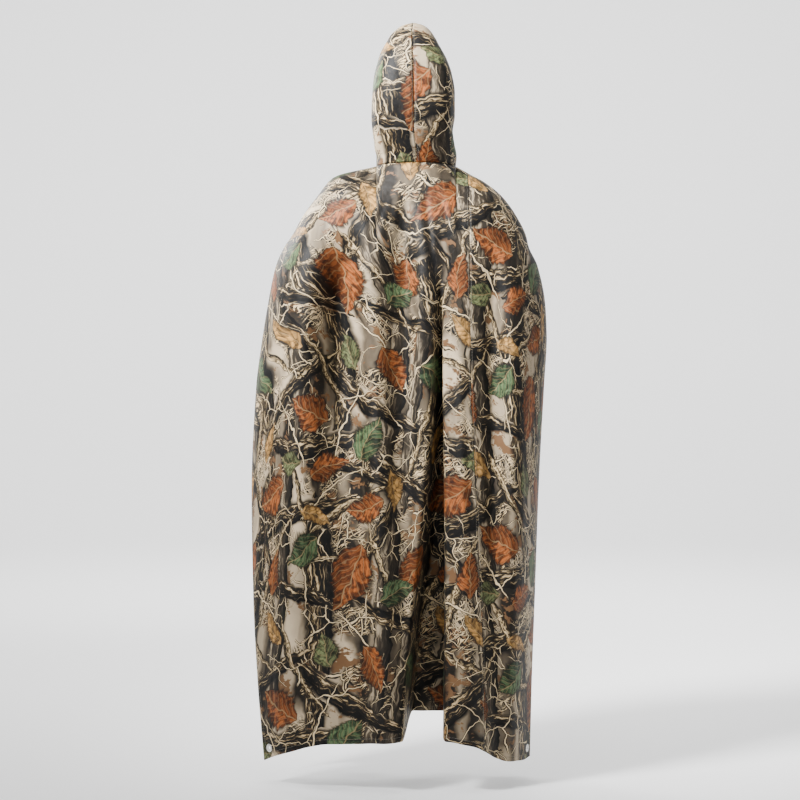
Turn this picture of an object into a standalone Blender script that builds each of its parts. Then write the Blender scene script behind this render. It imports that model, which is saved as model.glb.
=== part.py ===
"""A hooded rain poncho in its worn form, empty, as it hangs from a figure's shoulders.

Metres, +Z up.  The front of the garment faces -Y and the wearer's left side is +X.
The origin is the middle of the neck opening, at the height where the cloth rests on the shoulders.
Heights are negative below the neck.
"""

import math
from collections import namedtuple

import bmesh
import bpy
import numpy as np
from mathutils import Matrix, Vector

# ---------------------------------------------------------------- driving sizes
WALL = 0.002                # thickness of the cloth wall
SEAM_GAP = 0.0003           # clear space between pieces at a seam
SEAM_MARGIN = 0.003         # first mesh line beside a seam
CORNER_CELL = 0.048         # flat patch in each lower corner, which holds an eyelet

NECK_HALF_WIDTH = 0.0955    # neck opening
NECK_HALF_DEPTH = 0.0925
NECK_CENTRE_X = -0.0025
NECK_CENTRE_Y = -0.0075
NECK_FRONT_DROP = 0.035     # the opening dips at the throat

SLIT_TOP = -0.42            # the sides are open from here down
FRONT_INSET = 0.010         # the front's side edges hang this much inside the back's
INSET_DROP = 0.25           # height in which they come inside
HEM_LEVEL = -1.45           # below the lowest point of the hem

# the cloth's outline seen from behind: half-widths to the wearer's left and right
Outline = namedtuple("Outline", "height left right")
BODY_OUTLINE = (
    Outline(0.000, 0.0930, 0.0980),
    Outline(-0.0245, 0.1920, 0.1420),
    Outline(-0.0350, 0.2080, 0.1620),
    Outline(-0.0735, 0.2380, 0.2110),
    Outline(-0.1225, 0.2740, 0.2470),
    Outline(-0.1715, 0.3010, 0.2710),
    Outline(-0.1960, 0.3180, 0.2765),
    Outline(-0.2450, 0.3400, 0.2990),
    Outline(-0.3430, 0.3600, 0.3180),
    Outline(-0.4165, 0.3720, 0.3210),
    Outline(-0.5390, 0.3870, 0.3140),
    Outline(-0.7840, 0.3970, 0.3010),
    Outline(-1.0500, 0.3920, 0.2920),
    Outline(-1.2500, 0.3810, 0.2850),
    Outline(-1.4500, 0.3640, 0.2800),
)

# how far the cloth stands behind and in front of the shoulder line
Depth = namedtuple("Depth", "height back front")
BODY_DEPTH = (
    Depth(0.00, 0.100, 0.095),
    Depth(-0.10, 0.128, 0.128),
    Depth(-0.25, 0.142, 0.150),
    Depth(-0.50, 0.140, 0.150),
    Depth(-0.75, 0.156, 0.152),
    Depth(-1.05, 0.166, 0.160),
    Depth(-1.45, 0.176, 0.166),
)

# side edges below the slit's top: the middle of the gap, the gap, how far in the cloth rounds to its
# full depth, and how much it flares out flat there instead of turning in, on each side
SideEdge = namedtuple(
    "SideEdge",
    "height left_middle left_gap right_middle right_gap round_left round_right flare_left flare_right",
)
SIDE_EDGES = (
    SideEdge(0.00, 0.000, 0.000, 0.000, 0.000, 0.16, 0.16, 0.00, 0.00),
    SideEdge(-0.42, -0.004, 0.000, -0.004, 0.000, 0.15, 0.15, 0.00, 0.00),
    SideEdge(-0.55, -0.006, 0.026, -0.012, 0.022, 0.15, 0.14, 0.00, 0.00),
    SideEdge(-0.80, -0.004, 0.056, -0.028, 0.048, 0.17, 0.12, 0.08, 0.05),
    SideEdge(-1.10, 0.002, 0.078, -0.036, 0.064, 0.20, 0.12, 0.45, 0.40),
    SideEdge(-1.45, 0.010, 0.096, -0.040, 0.076, 0.23, 0.13, 1.00, 1.00),
)

# the long seam between the main panels and the strips
SeamRow = namedtuple("SeamRow", "height x")
LONG_SEAM = (
    SeamRow(0.00, -0.128),
    SeamRow(-0.45, -0.130),
    SeamRow(-0.87, -0.146),
    SeamRow(-1.26, -0.160),
    SeamRow(-1.45, -0.163),
)

# ridges (+) and troughs (-) that fall from the shoulders
Fold = namedtuple("Fold", "name x_top x_hem start full width_top width_hem depth depth_hem")
BACK_FOLDS = (
    Fold("left_arm", 0.270, 0.300, -0.10, -0.33, 0.075, 0.090, 0.030, 0.006),
    Fold("left_hollow", 0.178, 0.160, -0.10, -0.34, 0.075, 0.090, -0.042, -0.014),
    Fold("left_blade", 0.120, 0.060, -0.06, -0.30, 0.050, 0.050, 0.016, 0.022),
    Fold("spine", 0.035, 0.020, -0.02, -0.20, 0.050, 0.040, -0.022, -0.004),
    Fold("right_of_spine", -0.030, -0.010, -0.10, -0.35, 0.040, 0.040, 0.016, 0.000),
    Fold("right_roll", -0.105, -0.120, -0.12, -0.55, 0.050, 0.055, 0.012, 0.018),
    Fold("right_hollow", -0.185, -0.192, -0.12, -0.45, 0.045, 0.050, -0.022, -0.026),
    Fold("right_arm", -0.235, -0.236, -0.10, -0.50, 0.055, 0.050, 0.016, 0.014),
    Fold("left_low_trough", 0.240, 0.245, -0.70, -1.10, 0.060, 0.070, -0.012, -0.016),
)
FRONT_FOLDS = (
    Fold("left_arm", 0.275, 0.300, -0.10, -0.36, 0.080, 0.090, 0.026, 0.004),
    Fold("left_hollow", 0.190, 0.215, -0.10, -0.38, 0.070, 0.080, -0.036, -0.030),
    Fold("left_breast", 0.110, 0.120, -0.08, -0.28, 0.060, 0.075, 0.014, 0.030),
    Fold("middle", 0.010, 0.020, -0.12, -0.55, 0.065, 0.080, -0.016, -0.052),
    Fold("right_breast", -0.085, -0.085, -0.08, -0.28, 0.055, 0.060, 0.014, 0.026),
    Fold("right_hollow", -0.165, -0.180, -0.10, -0.38, 0.060, 0.055, -0.032, -0.030),
    Fold("right_arm", -0.240, -0.240, -0.10, -0.40, 0.065, 0.055, 0.022, 0.010),
)

# the deep inward fold of the back: where its two walls start, and how deep it is
Recess = namedtuple("Recess", "height left right depth left_slope")
BACK_RECESS = (
    Recess(-0.24, -0.048, -0.066, 0.000, 0.026),
    Recess(-0.42, -0.038, -0.074, 0.036, 0.026),
    Recess(-0.57, -0.032, -0.078, 0.066, 0.030),
    Recess(-0.78, -0.016, -0.081, 0.094, 0.038),
    Recess(-0.95, 0.002, -0.082, 0.118, 0.040),
    Recess(-1.10, 0.018, -0.082, 0.140, 0.036),
    Recess(-1.27, 0.030, -0.080, 0.158, 0.030),
    Recess(-1.45, 0.037, -0.078, 0.168, 0.024),
)
RECESS_RIGHT_SLOPE = 0.016  # the right wall is steep
RECESS_OVERHANG = 0.010     # and its edge rolls over the fold
RECESS_LIFT = 0.046         # the hem is drawn up inside the fold
ROLL_REACH = 0.030          # the roll spreads this far to each side of the right wall
ROLL_DEPTH = 0.080          # and is full where the fold is this deep
FOLD_BOTTOM = 0.002         # least half-width of the fold's bottom
# the mesh lines gather on the fold's walls from the first height down to the second,
# between the long seam and a line that falls from the shoulder
GATHER_TOP = -0.14
GATHER_FULL = -0.44
GATHER_LINE_TOP = 0.190
GATHER_LINE_HEM = 0.145

# the height of the lower edge
HemRow = namedtuple("HemRow", "x height")
BACK_HEM = (
    HemRow(0.3650, -1.4425),
    HemRow(0.3375, -1.4278),
    HemRow(0.3000, -1.4125),
    HemRow(0.2512, -1.3970),
    HemRow(0.2000, -1.3870),
    HemRow(0.1300, -1.3840),
    HemRow(0.0400, -1.3765),
    HemRow(-0.0745, -1.3760),
    HemRow(-0.1144, -1.3815),
    HemRow(-0.1393, -1.3873),
    HemRow(-0.1638, -1.4026),
    HemRow(-0.1890, -1.4221),
    HemRow(-0.2135, -1.4323),
    HemRow(-0.2400, -1.4366),
    HemRow(-0.2670, -1.4444),
    HemRow(-0.2800, -1.4430),
)
FRONT_HEM = (
    HemRow(0.356, -1.398),
    HemRow(0.270, -1.352),
    HemRow(0.000, -1.338),
    HemRow(-0.200, -1.356),
    HemRow(-0.270, -1.392),
)

# mesh lines across a panel: x at the hem, x at the top edge, lines since the row before
Line = namedtuple("Line", "x_hem x_top steps")

# hood, seen from behind
HOOD_OUTLINE = (
    Outline(-0.035, 0.0900, 0.0950),
    Outline(0.000, 0.0920, 0.0980),
    Outline(0.022, 0.0940, 0.0985),
    Outline(0.045, 0.1000, 0.0910),
    Outline(0.073, 0.1005, 0.0890),
    Outline(0.122, 0.1030, 0.0950),
    Outline(0.172, 0.1025, 0.0950),
    Outline(0.220, 0.0980, 0.0880),
    Outline(0.258, 0.0880, 0.0760),
    Outline(0.294, 0.0735, 0.0590),
    Outline(0.318, 0.0640, 0.0440),
    Outline(0.333, 0.0540, 0.0350),
    Outline(0.342, 0.0420, 0.0250),
    Outline(0.3465, 0.0120, -0.0060),
)
# the hood is a fan of flat sections that turn about a line in front of the throat
HINGE_Y = -0.35
HINGE_Z = -0.08
Fan = namedtuple("Fan", "angle seam edge mouth")
HOOD_FAN = (
    Fan(10.4, 0.4423, 0.2540, 0.000),
    Fan(17.0, 0.4760, 0.2500, 0.036),
    Fan(24.0, 0.5140, 0.2560, 0.056),
    Fan(30.5, 0.5480, 0.2700, 0.069),
    Fan(37.4, 0.5740, 0.2950, 0.077),
    Fan(43.3, 0.5820, 0.3200, 0.081),
    Fan(48.1, 0.5700, 0.3520, 0.082),
    Fan(53.9, 0.5290, 0.3960, 0.076),
    Fan(57.5, 0.4960, 0.4240, 0.065),
    Fan(60.5, 0.4600, 0.4430, 0.047),
)
BROW_START = 54.5           # from this section on the hood opens out into the brow
BROW_LEAN = 2.0             # degrees by which the crown reaches further forward than the temples
BROW_ARCH = 0.6             # 1 is a pointed brow, 0 a level one
HOOD_ROWS = 16
HOOD_ROUNDING = 0.40        # share of a section in which it rounds from the seam to the side
HOOD_SQUARENESS = 3.2       # 2 is an ellipse
HOOD_SEAM_SHARE = 0.012     # first mesh line beside the seam
NECK_BLEND = 14.0           # degrees over which the neck ring opens into the fan

BACK_ROWS = 24
FRONT_ROWS = 19
FRONT_ENDS = (5, 8, 15)     # the front's walls are made in lengths that end at these rows
FRONT_LENGTHS = ("", "_chest", "_waist", "_skirt")
STRIP_ENDS = (9, 16)        # and the back's narrow panel in these
STRIP_LENGTHS = ("", "_waist", "_skirt")
LENGTH_GAP = 0.0012         # clear space between two lengths, whose folded ends lean differently
FIRST_ROW = 0.0002          # the first row lies level beside the top edge
EDGE_SAMPLES = 200          # steps in which a curved edge is measured
BACK_NECK_STEPS = 20        # mesh lines round the neck, shared by the panels and the hood
FRONT_NECK_STEPS = 12
ROW_CROWDING = 1.55         # rows crowd towards the shoulders
SHOULDER_DROP_NECK = 0.17   # height in which the cloth turns from level to upright
SHOULDER_DROP_ARM = 0.06
SHOULDER_REACH = 0.09       # the first of them changes into the second this far beside the neck
FREE_EDGE = 0.03            # folds flatten within this of a free edge
FREE_EDGE_SHARE = 0.25      # to this part of their depth

EYELET_RADIUS = 0.010
EYELET_HOLE = 0.0042
EYELET_BARREL = 0.0055
EYELET_LIP = 0.0012
EYELET_SIDES = 16

CLOTH_COLOURS = {
    "back_main": (0.20, 0.17, 0.12),
    "back_strip": (0.17, 0.15, 0.10),
    "back_strip_waist": (0.17, 0.15, 0.10),
    "back_strip_skirt": (0.17, 0.15, 0.10),
    "front_main": (0.19, 0.16, 0.11),
    "front_main_chest": (0.19, 0.16, 0.11),
    "front_main_waist": (0.19, 0.16, 0.11),
    "front_main_skirt": (0.19, 0.16, 0.11),
    "front_strip": (0.16, 0.14, 0.10),
    "front_strip_chest": (0.16, 0.14, 0.10),
    "front_strip_waist": (0.16, 0.14, 0.10),
    "front_strip_skirt": (0.16, 0.14, 0.10),
    "hood_left": (0.22, 0.18, 0.13),
    "hood_right": (0.18, 0.15, 0.11),
}
METAL_COLOUR = (0.55, 0.53, 0.50)


# ---------------------------------------------------------------- small maths
def smooth_curve(places, values):
    """Return a function that runs smoothly through the values and never overshoots them."""
    order = np.argsort(places)
    places = np.array(places, float)[order]
    values = np.array(values, float)[order]
    steps = np.diff(places)
    rises = np.diff(values) / steps
    slopes = np.zeros(len(values))
    slopes[0] = rises[0]
    slopes[-1] = rises[-1]
    for i in range(1, len(values) - 1):
        if rises[i - 1] * rises[i] > 0:
            slopes[i] = 2 * rises[i - 1] * rises[i] / (rises[i - 1] + rises[i])

    def curve(place):
        place = min(max(place, places[0]), places[-1])
        i = min(int(np.searchsorted(places, place, side="right")) - 1, len(steps) - 1)
        t = (place - places[i]) / steps[i]
        return (
            values[i] * (1 + 2 * t) * (1 - t) ** 2
            + values[i + 1] * t * t * (3 - 2 * t)
            + steps[i] * (slopes[i] * t * (1 - t) ** 2 - slopes[i + 1] * t * t * (1 - t))
        )

    return curve


def column_curve(rows, place, value):
    """Return the smooth curve of one named column of a table over another."""
    return smooth_curve([getattr(r, place) for r in rows], [getattr(r, value) for r in rows])


def ease(t):
    t = min(max(t, 0.0), 1.0)
    return t * t * (3 - 2 * t)


def quarter_round(t):
    """Rise from 0 to 1 as a quarter of a circle does, starting upright."""
    t = min(max(t, 0.0), 1.0)
    return math.sqrt(1 - (1 - t) ** 2)


def side_round(t, flare):
    """Rise from 0 to 1 as a quarter of a circle does, or from a slope where the cloth flares."""
    return mix(quarter_round(t), math.sin(math.pi / 2 * min(max(t, 0.0), 1.0)), flare)


def both(a, b):
    """Return a soft minimum of two shares: each alone where the other is 1."""
    if a <= 0 or b <= 0:
        return 0.0
    k = 3
    return a * b / (a ** k + b ** k - (a * b) ** k) ** (1 / k)


def mix(a, b, share):
    return a + (b - a) * share


# ---------------------------------------------------------------- curves from the tables
left_of = column_curve(BODY_OUTLINE, "height", "left")
right_of = column_curve(BODY_OUTLINE, "height", "right")
back_depth = column_curve(BODY_DEPTH, "height", "back")
front_depth = column_curve(BODY_DEPTH, "height", "front")
seam_x = column_curve(LONG_SEAM, "height", "x")
side_curves = {name: column_curve(SIDE_EDGES, "height", name) for name in SideEdge._fields[1:]}
recess_curves = {name: column_curve(BACK_RECESS, "height", name) for name in Recess._fields[1:]}
back_hem = column_curve(BACK_HEM, "x", "height")
front_hem = column_curve(FRONT_HEM, "x", "height")
hood_left_of = column_curve(HOOD_OUTLINE, "height", "left")
hood_right_of = column_curve(HOOD_OUTLINE, "height", "right")
fan_curves = {name: column_curve(HOOD_FAN, "angle", name) for name in Fan._fields[1:]}

BACK = 1
FRONT = -1


def side_x(face, left, height):
    """Return where a side edge is: the front's edges hang just inside the back's."""
    x = left_of(height) if left else -right_of(height)
    if face == FRONT:
        x -= math.copysign(FRONT_INSET, x) * ease((SLIT_TOP - height) / INSET_DROP)
    return x


def side_y(face, left, height):
    """Return how far back or forward a side edge hangs."""
    side = "left" if left else "right"
    gap = side_curves[side + "_gap"](height) + SEAM_GAP
    return side_curves[side + "_middle"](height) + face * gap / 2


def recess_share(x, height):
    """Return 0 outside the back's deep fold and 1 at its bottom."""
    left = recess_curves["left"](height)
    right = recess_curves["right"](height)
    left_slope = recess_curves["left_slope"](height)
    return ease((left - x) / left_slope) * ease((x - right) / RECESS_RIGHT_SLOPE)


def folds(face, x, height):
    """Return how far the ridges and troughs move the cloth outwards."""
    total = 0.0
    for fold in BACK_FOLDS if face == BACK else FRONT_FOLDS:
        down = ease((fold.start - height) / (fold.start - fold.full))
        lower = min(max((fold.full - height) / (fold.full - HEM_LEVEL), 0.0), 1.0)
        centre = mix(fold.x_top, fold.x_hem, min(max(height / HEM_LEVEL, 0.0), 1.0))
        width = mix(fold.width_top, fold.width_hem, lower)
        away = abs(x - centre) / width
        if away < 1:
            total += down * mix(fold.depth, fold.depth_hem, lower) * (1 + math.cos(math.pi * away)) / 2
    return total


def hang(face, top, x, height):
    """Return the cloth's point at x and height on the line that hangs from a point of the top edge."""
    on_neck = 1 - ease((abs(top.x - NECK_CENTRE_X) - NECK_HALF_WIDTH) / SHOULDER_REACH)
    drop = mix(SHOULDER_DROP_ARM, SHOULDER_DROP_NECK, on_neck)
    below = (top.z - height) / drop
    upright = quarter_round(below)
    to_left = side_x(face, True, height) - x
    to_right = x - side_x(face, False, height)
    across = side_round(to_left / side_curves["round_left"](height), side_curves["flare_left"](height))
    across *= side_round(to_right / side_curves["round_right"](height), side_curves["flare_right"](height))
    middle = ease(to_left / max(to_left + to_right, 1e-6))
    edge_y = mix(side_y(face, True, height), side_y(face, False, height), middle)
    start_y = mix(top.y, edge_y, ease(below / 2))
    full_y = back_depth(height) if face == BACK else -front_depth(height)
    y = mix(start_y, full_y, both(upright, across))
    lying = ease(below) * ease(min(to_left, to_right) / FREE_EDGE + FREE_EDGE_SHARE)
    y += face * folds(face, x, height) * lying
    if face == BACK:
        share = recess_share(x, height)
        depth = recess_curves["depth"](height)
        y -= depth * share
        off_wall = abs(x - recess_curves["right"](height) - RECESS_RIGHT_SLOPE / 2)
        roll = ease(depth / ROLL_DEPTH) * (1 - ease(off_wall / ROLL_REACH))
        x += RECESS_OVERHANG * roll * math.cos(math.pi * share)
    return Vector((x, y, height))


# ---------------------------------------------------------------- edges of the panels
def neck_point(face, angle):
    """Return a point of the neck opening; angle 0 is at the wearer's left, a half turn at the right."""
    x = NECK_CENTRE_X + NECK_HALF_WIDTH * math.cos(angle)
    y = NECK_CENTRE_Y + face * max(NECK_HALF_DEPTH * math.sin(angle), SEAM_GAP / 2)
    z = 0.0 if face == BACK else -NECK_FRONT_DROP * math.sin(angle) ** 2
    return Vector((x, y, z))


def ridge(left):
    """Return the half-widths and the heights of the line over a shoulder and down the arm."""
    outline = left_of if left else right_of
    heights = [SLIT_TOP * (i / EDGE_SAMPLES) ** 2 for i in range(EDGE_SAMPLES + 1)]
    return [outline(z) for z in heights], heights


def beside_neck(face, top):
    """Return the point just outside a point of the neck opening, level with it or on the shoulder."""
    angle = neck_angle(top.x)
    outwards = Vector((math.cos(angle), face, 0))
    point = top + outwards.normalized() * SEAM_MARGIN
    if abs(point.x - NECK_CENTRE_X) > NECK_HALF_WIDTH:
        xs, heights = ridge(point.x > 0)
        point.z += float(np.interp(abs(point.x), xs, heights))
    return point


def neck_angle(x):
    return math.acos(min(max((x - NECK_CENTRE_X) / NECK_HALF_WIDTH, -1.0), 1.0))


def neck_x(turn):
    """Return the x of the neck opening at a share of the half turn from left to right."""
    return NECK_CENTRE_X + NECK_HALF_WIDTH * math.cos(math.pi * turn)


def spread(face, start, end, steps):
    """Return the top edge's points between two x values, without the first."""
    limit = NECK_HALF_WIDTH + 1e-6
    if max(abs(start - NECK_CENTRE_X), abs(end - NECK_CENTRE_X)) <= limit:
        first, last = neck_angle(start), neck_angle(end)
        return [neck_point(face, mix(first, last, i / steps)) for i in range(1, steps + 1)]
    left = start + end > 0
    outline = left_of if left else lambda z: -right_of(z)
    xs, heights = ridge(left)
    lengths = [0.0]
    for i in range(1, len(xs)):
        lengths.append(lengths[-1] + math.hypot(xs[i] - xs[i - 1], heights[i] - heights[i - 1]))
    first, last = np.interp([abs(start), abs(end)], xs, lengths)
    found = []
    for i in range(1, steps + 1):
        z = float(np.interp(mix(first, last, i / steps), lengths, heights))
        found.append(Vector((outline(z), side_y(face, left, z), z)))
    return found


def hem_height(face, x):
    """Return the height of the lower edge, which is drawn up inside the deep fold."""
    if face == FRONT:
        return front_hem(x)
    return back_hem(x) + RECESS_LIFT * recess_share(x, back_hem(x))


def hem_edge(face):
    """Return the lower edge from left to right, as x values with the cloth's length between them."""
    count = EDGE_SAMPLES * 2
    left = side_x(face, True, HEM_LEVEL)
    right = side_x(face, False, HEM_LEVEL)
    far_top = Vector((0, 0, 0))
    xs = [mix(left, right, i / count) for i in range(count + 1)]
    points = [hang(face, far_top, x, hem_height(face, x)) for x in xs]
    lengths = [0.0]
    for a, b in zip(points, points[1:]):
        lengths.append(lengths[-1] + (b - a).length)
    return np.array(xs), np.array(lengths)


def cell_x(face, left):
    """Return the x, at the hem, of the inner side of the flat patch in a lower corner."""
    xs, lengths = hem_edge(face)
    at = CORNER_CELL if left else lengths[-1] - CORNER_CELL
    return float(np.interp(at, lengths, xs))


def panel_columns(face, lines):
    """Return the mesh lines of a panel, each as its point on the top edge and its x at the hem."""
    xs, lengths = hem_edge(face)
    start = lines[0]
    columns = [(spread(face, start.x_top, start.x_top, 1)[0], start.x_hem)]
    for before, line in zip(lines, lines[1:]):
        tops = spread(face, before.x_top, line.x_top, line.steps)
        first, last = np.interp([-before.x_hem, -line.x_hem], -xs, lengths)
        for i, top in enumerate(tops, 1):
            at = mix(first, last, i / line.steps)
            columns.append((top, float(np.interp(at, lengths, xs))))
    return columns


def bulge(curve, start, end, height):
    """Return how far a curve stands off the straight line between two of its heights."""
    if height >= start:
        return 0.0
    return curve(height) - mix(curve(start), curve(end), (start - height) / (start - end))


def gather_knots(height):
    """Return the x of the lines between which the back's mesh lines are shared out."""
    left, right = recess_curves["left"](height), recess_curves["right"](height)
    wall_ends = (right + RECESS_RIGHT_SLOPE, left - recess_curves["left_slope"](height))
    middle = sum(wall_ends) / 2
    half = max((wall_ends[1] - wall_ends[0]) / 2, FOLD_BOTTOM)
    outer = mix(GATHER_LINE_TOP, GATHER_LINE_HEM, height / back_hem(GATHER_LINE_HEM))
    return [seam_x(height), right, middle - half, middle + half, left, outer]


def gathered(x, x_hem, bottom, height):
    """Return the x of a mesh line of the main back panel, gathered on the walls of the deep fold."""
    at_hem = gather_knots(bottom)
    if not at_hem[0] < x_hem < at_hem[-1]:
        return x
    on_walls = float(np.interp(x_hem, at_hem, gather_knots(height)))
    return mix(x, on_walls, ease((GATHER_TOP - height) / (GATHER_TOP - GATHER_FULL)))


def panel_grid(face, lines, is_left, row_count):
    """Return the panel's points, row by row from its top edge down to its hem."""
    columns = panel_columns(face, lines)
    seam_hem = columns[-1][1] if columns[0][1] > 0 else columns[0][1]
    side_hem = columns[0][1] if columns[0][1] > 0 else columns[-1][1]
    side_bottom = hem_height(face, side_hem)
    rows = []
    for k in range(row_count + 1):
        row = []
        for top, x_hem in columns:
            bottom = hem_height(face, x_hem)
            tall = top.z - bottom
            height = top.z - tall * (k / row_count) ** ROW_CROWDING
            if k == 1:
                height = top.z - FIRST_ROW
            if k == row_count - 1:
                height = bottom + CORNER_CELL
            x = mix(top.x, x_hem, (top.z - height) / tall)
            outer = (x_hem - seam_hem) / (side_hem - seam_hem)
            x += outer * bulge(lambda z: side_x(face, is_left, z), SLIT_TOP, side_bottom, height)
            x += (1 - outer) * bulge(seam_x, top.z, bottom, height)
            if face == BACK and is_left:
                x = gathered(x, x_hem, bottom, height)
            if k == 0:
                point = top.copy()
            elif k == 1 and abs(top.x - NECK_CENTRE_X) < NECK_HALF_WIDTH + 1e-6:
                point = beside_neck(face, top)
            else:
                point = hang(face, top, x, height)
            row.append(point)
        rows.append(row)
    return rows


def flatten_corner(rows, left):
    """Make the corner's patch flat and return its middle, its outward normal and its side direction."""
    side = 0 if left else len(rows[0]) - 1
    step = 1 if left else -1
    corner, along, up = rows[-1][side], rows[-1][side + step], rows[-2][side]
    rows[-2][side + step] = along + up - corner
    normal = (along - corner).cross(up - corner).normalized()
    return (along + up) / 2, normal, (along - corner).normalized()


# ---------------------------------------------------------------- hood
def fan_point(angle, share, open_share):
    """Return a point of one flat section: its place in the section's plane and its half-width."""
    round_way = (1 - math.cos(math.pi * share)) / 2
    open_way = 1 - math.cos(math.pi * share / 2)
    way = mix(round_way, open_way, open_share)
    distance = mix(fan_curves["seam"](angle), fan_curves["edge"](angle), way)
    mouth = fan_curves["mouth"](angle)
    brow = ease((angle - BROW_START) / (HOOD_FAN[-1].angle - BROW_START))
    turn = math.radians(angle + BROW_LEAN * brow * (1 - way))
    y = HINGE_Y + distance * math.cos(turn)
    z = HINGE_Z + distance * math.sin(turn)
    half = mix((hood_left_of(z) + hood_right_of(z)) / 2, mouth, brow)
    rounding = mix(HOOD_ROUNDING, 1.0, brow)
    arch_way = min(way / rounding, 1.0)
    arch = (1 - (1 - arch_way) ** HOOD_SQUARENESS) ** (1 / HOOD_SQUARENESS)
    arch *= 1 - (1 - mouth / half) * ease((way - rounding) / (1.000001 - rounding))
    arch = mix(arch, way ** BROW_ARCH, brow)
    return half * mix(math.sin(math.pi * share), arch, open_share), y, z


def hood_ring(share):
    """Return the neck opening's half-width, y and height, from the back (0) to the throat (1)."""
    y = NECK_HALF_DEPTH * math.cos(math.pi * share)
    z = 0.0 if y > 0 else -NECK_FRONT_DROP * (y / NECK_HALF_DEPTH) ** 2
    return NECK_HALF_WIDTH * math.sin(math.pi * share), NECK_CENTRE_Y + y, z


def hood_point(side, angle, share, lift):
    """Return a point of one hood half; share runs from the seam (0) to the face edge (1)."""
    start = HOOD_FAN[0].angle
    opened = ease((angle - start) / NECK_BLEND)
    here = fan_point(angle, share, opened)
    neck = fan_point(start, share, 0.0)
    ring = hood_ring(share)
    half, y, z = (h + (r - n) * (1 - opened) for h, r, n in zip(here, ring, neck))
    middle = mix(NECK_CENTRE_X, (hood_left_of(z) - hood_right_of(z)) / 2, opened)
    return Vector((middle + side * max(half, SEAM_GAP / 2), y, z + lift * (1 - opened)))


def hood_grid(side):
    """Return the points of one hood half, row by row from the neck to the forehead."""
    start, end = HOOD_FAN[0].angle, HOOD_FAN[-1].angle
    shares = [0.0, HOOD_SEAM_SHARE]
    shares += [i / BACK_NECK_STEPS for i in range(1, BACK_NECK_STEPS // 2 + 1)]
    shares += [0.5 + i / FRONT_NECK_STEPS for i in range(1, FRONT_NECK_STEPS // 2 + 1)]
    lift = WALL + SEAM_GAP
    rows = [[hood_point(side, start, s, lift) for s in shares]]
    rows.append([p + Vector((0, 0, SEAM_MARGIN)) for p in rows[0]])
    for i in range(1, HOOD_ROWS + 1):
        angle = mix(start, end, i / HOOD_ROWS)
        rows.append([hood_point(side, angle, s, lift + SEAM_MARGIN) for s in shares])
    return rows


# ---------------------------------------------------------------- objects
def collection(name):
    found = bpy.data.collections.new(name)
    bpy.context.scene.collection.children.link(found)
    return found


def material(name, colour, roughness, metallic):
    made = bpy.data.materials.new(name)
    made.use_nodes = True
    shader = made.node_tree.nodes["Principled BSDF"]
    shader.inputs["Base Color"].default_value = (*colour, 1)
    shader.inputs["Roughness"].default_value = roughness
    shader.inputs["Metallic"].default_value = metallic
    made.diffuse_color = (*colour, 1)
    return made


def add_object(name, mesh, into, finish):
    made = bpy.data.objects.new(name, mesh)
    mesh.materials.append(finish)
    into.objects.link(made)
    return made


def cloth_wall(name, rows, outward, into):
    """Make a wall of cloth on rows of points, with its thickness on the outward side."""
    sheet = bmesh.new()
    across, down = len(rows[0]) - 1, len(rows) - 1
    bmesh.ops.create_grid(sheet, x_segments=across, y_segments=down, size=1)
    sheet.verts.ensure_lookup_table()
    for vert, point in zip(sheet.verts, (p for row in rows for p in row)):
        vert.co = point
    sheet.normal_update()
    if sum(face.normal.dot(outward(face.calc_center_median())) for face in sheet.faces) < 0:
        bmesh.ops.reverse_faces(sheet, faces=sheet.faces)
    mesh = bpy.data.meshes.new(name)
    sheet.to_mesh(mesh)
    sheet.free()
    mesh.shade_smooth()
    made = add_object(name, mesh, into, material(name, CLOTH_COLOURS[name], 0.55, 0.0))
    wall = made.modifiers.new("wall", "SOLIDIFY")
    wall.thickness = WALL
    wall.offset = 1
    return made


def in_lengths(rows, ends):
    """Return the rows of each length of a wall, which starts a gap below the one above it."""
    found, head, start = [], [], 0
    for end in ends:
        found.append(head + rows[start:end + 1])
        below = zip(rows[end], rows[end + 1])
        head = [[a.lerp(b, LENGTH_GAP / (b - a).length) for a, b in below]]
        start = end + 1
    return found + [head + rows[start:]]


def lengths_of(face, is_left):
    """Return the rows at which a panel's lengths end, and the endings of their names."""
    if face == FRONT:
        return FRONT_ENDS, FRONT_LENGTHS
    return ((), STRIP_LENGTHS[:1]) if is_left else (STRIP_ENDS, STRIP_LENGTHS)


def corner_frame(middle, normal, along):
    """Return the place of an eyelet: its axis is the cloth's outward normal."""
    up = normal.cross(along)
    turn = Matrix((along, up, normal)).transposed().to_4x4()
    return Matrix.Translation(middle) @ turn


def cut_eyelet_hole(panel, place, cutters):
    """Cut the round hole that the eyelet's barrel goes through."""
    drill = bmesh.new()
    bmesh.ops.create_cone(
        drill,
        cap_ends=True,
        segments=EYELET_SIDES,
        radius1=EYELET_BARREL + SEAM_GAP,
        radius2=EYELET_BARREL + SEAM_GAP,
        depth=WALL * 6,
    )
    mesh = bpy.data.meshes.new(panel.name + "_hole")
    drill.to_mesh(mesh)
    drill.free()
    cutter = bpy.data.objects.new(panel.name + "_hole", mesh)
    cutters.objects.link(cutter)
    cutter.matrix_world = place
    cutter.hide_render = True
    cutter.display_type = "WIRE"
    cut = panel.modifiers.new("eyelet_hole", "BOOLEAN")
    cut.operation = "DIFFERENCE"
    cut.solver = "EXACT"
    cut.object = cutter


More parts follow.
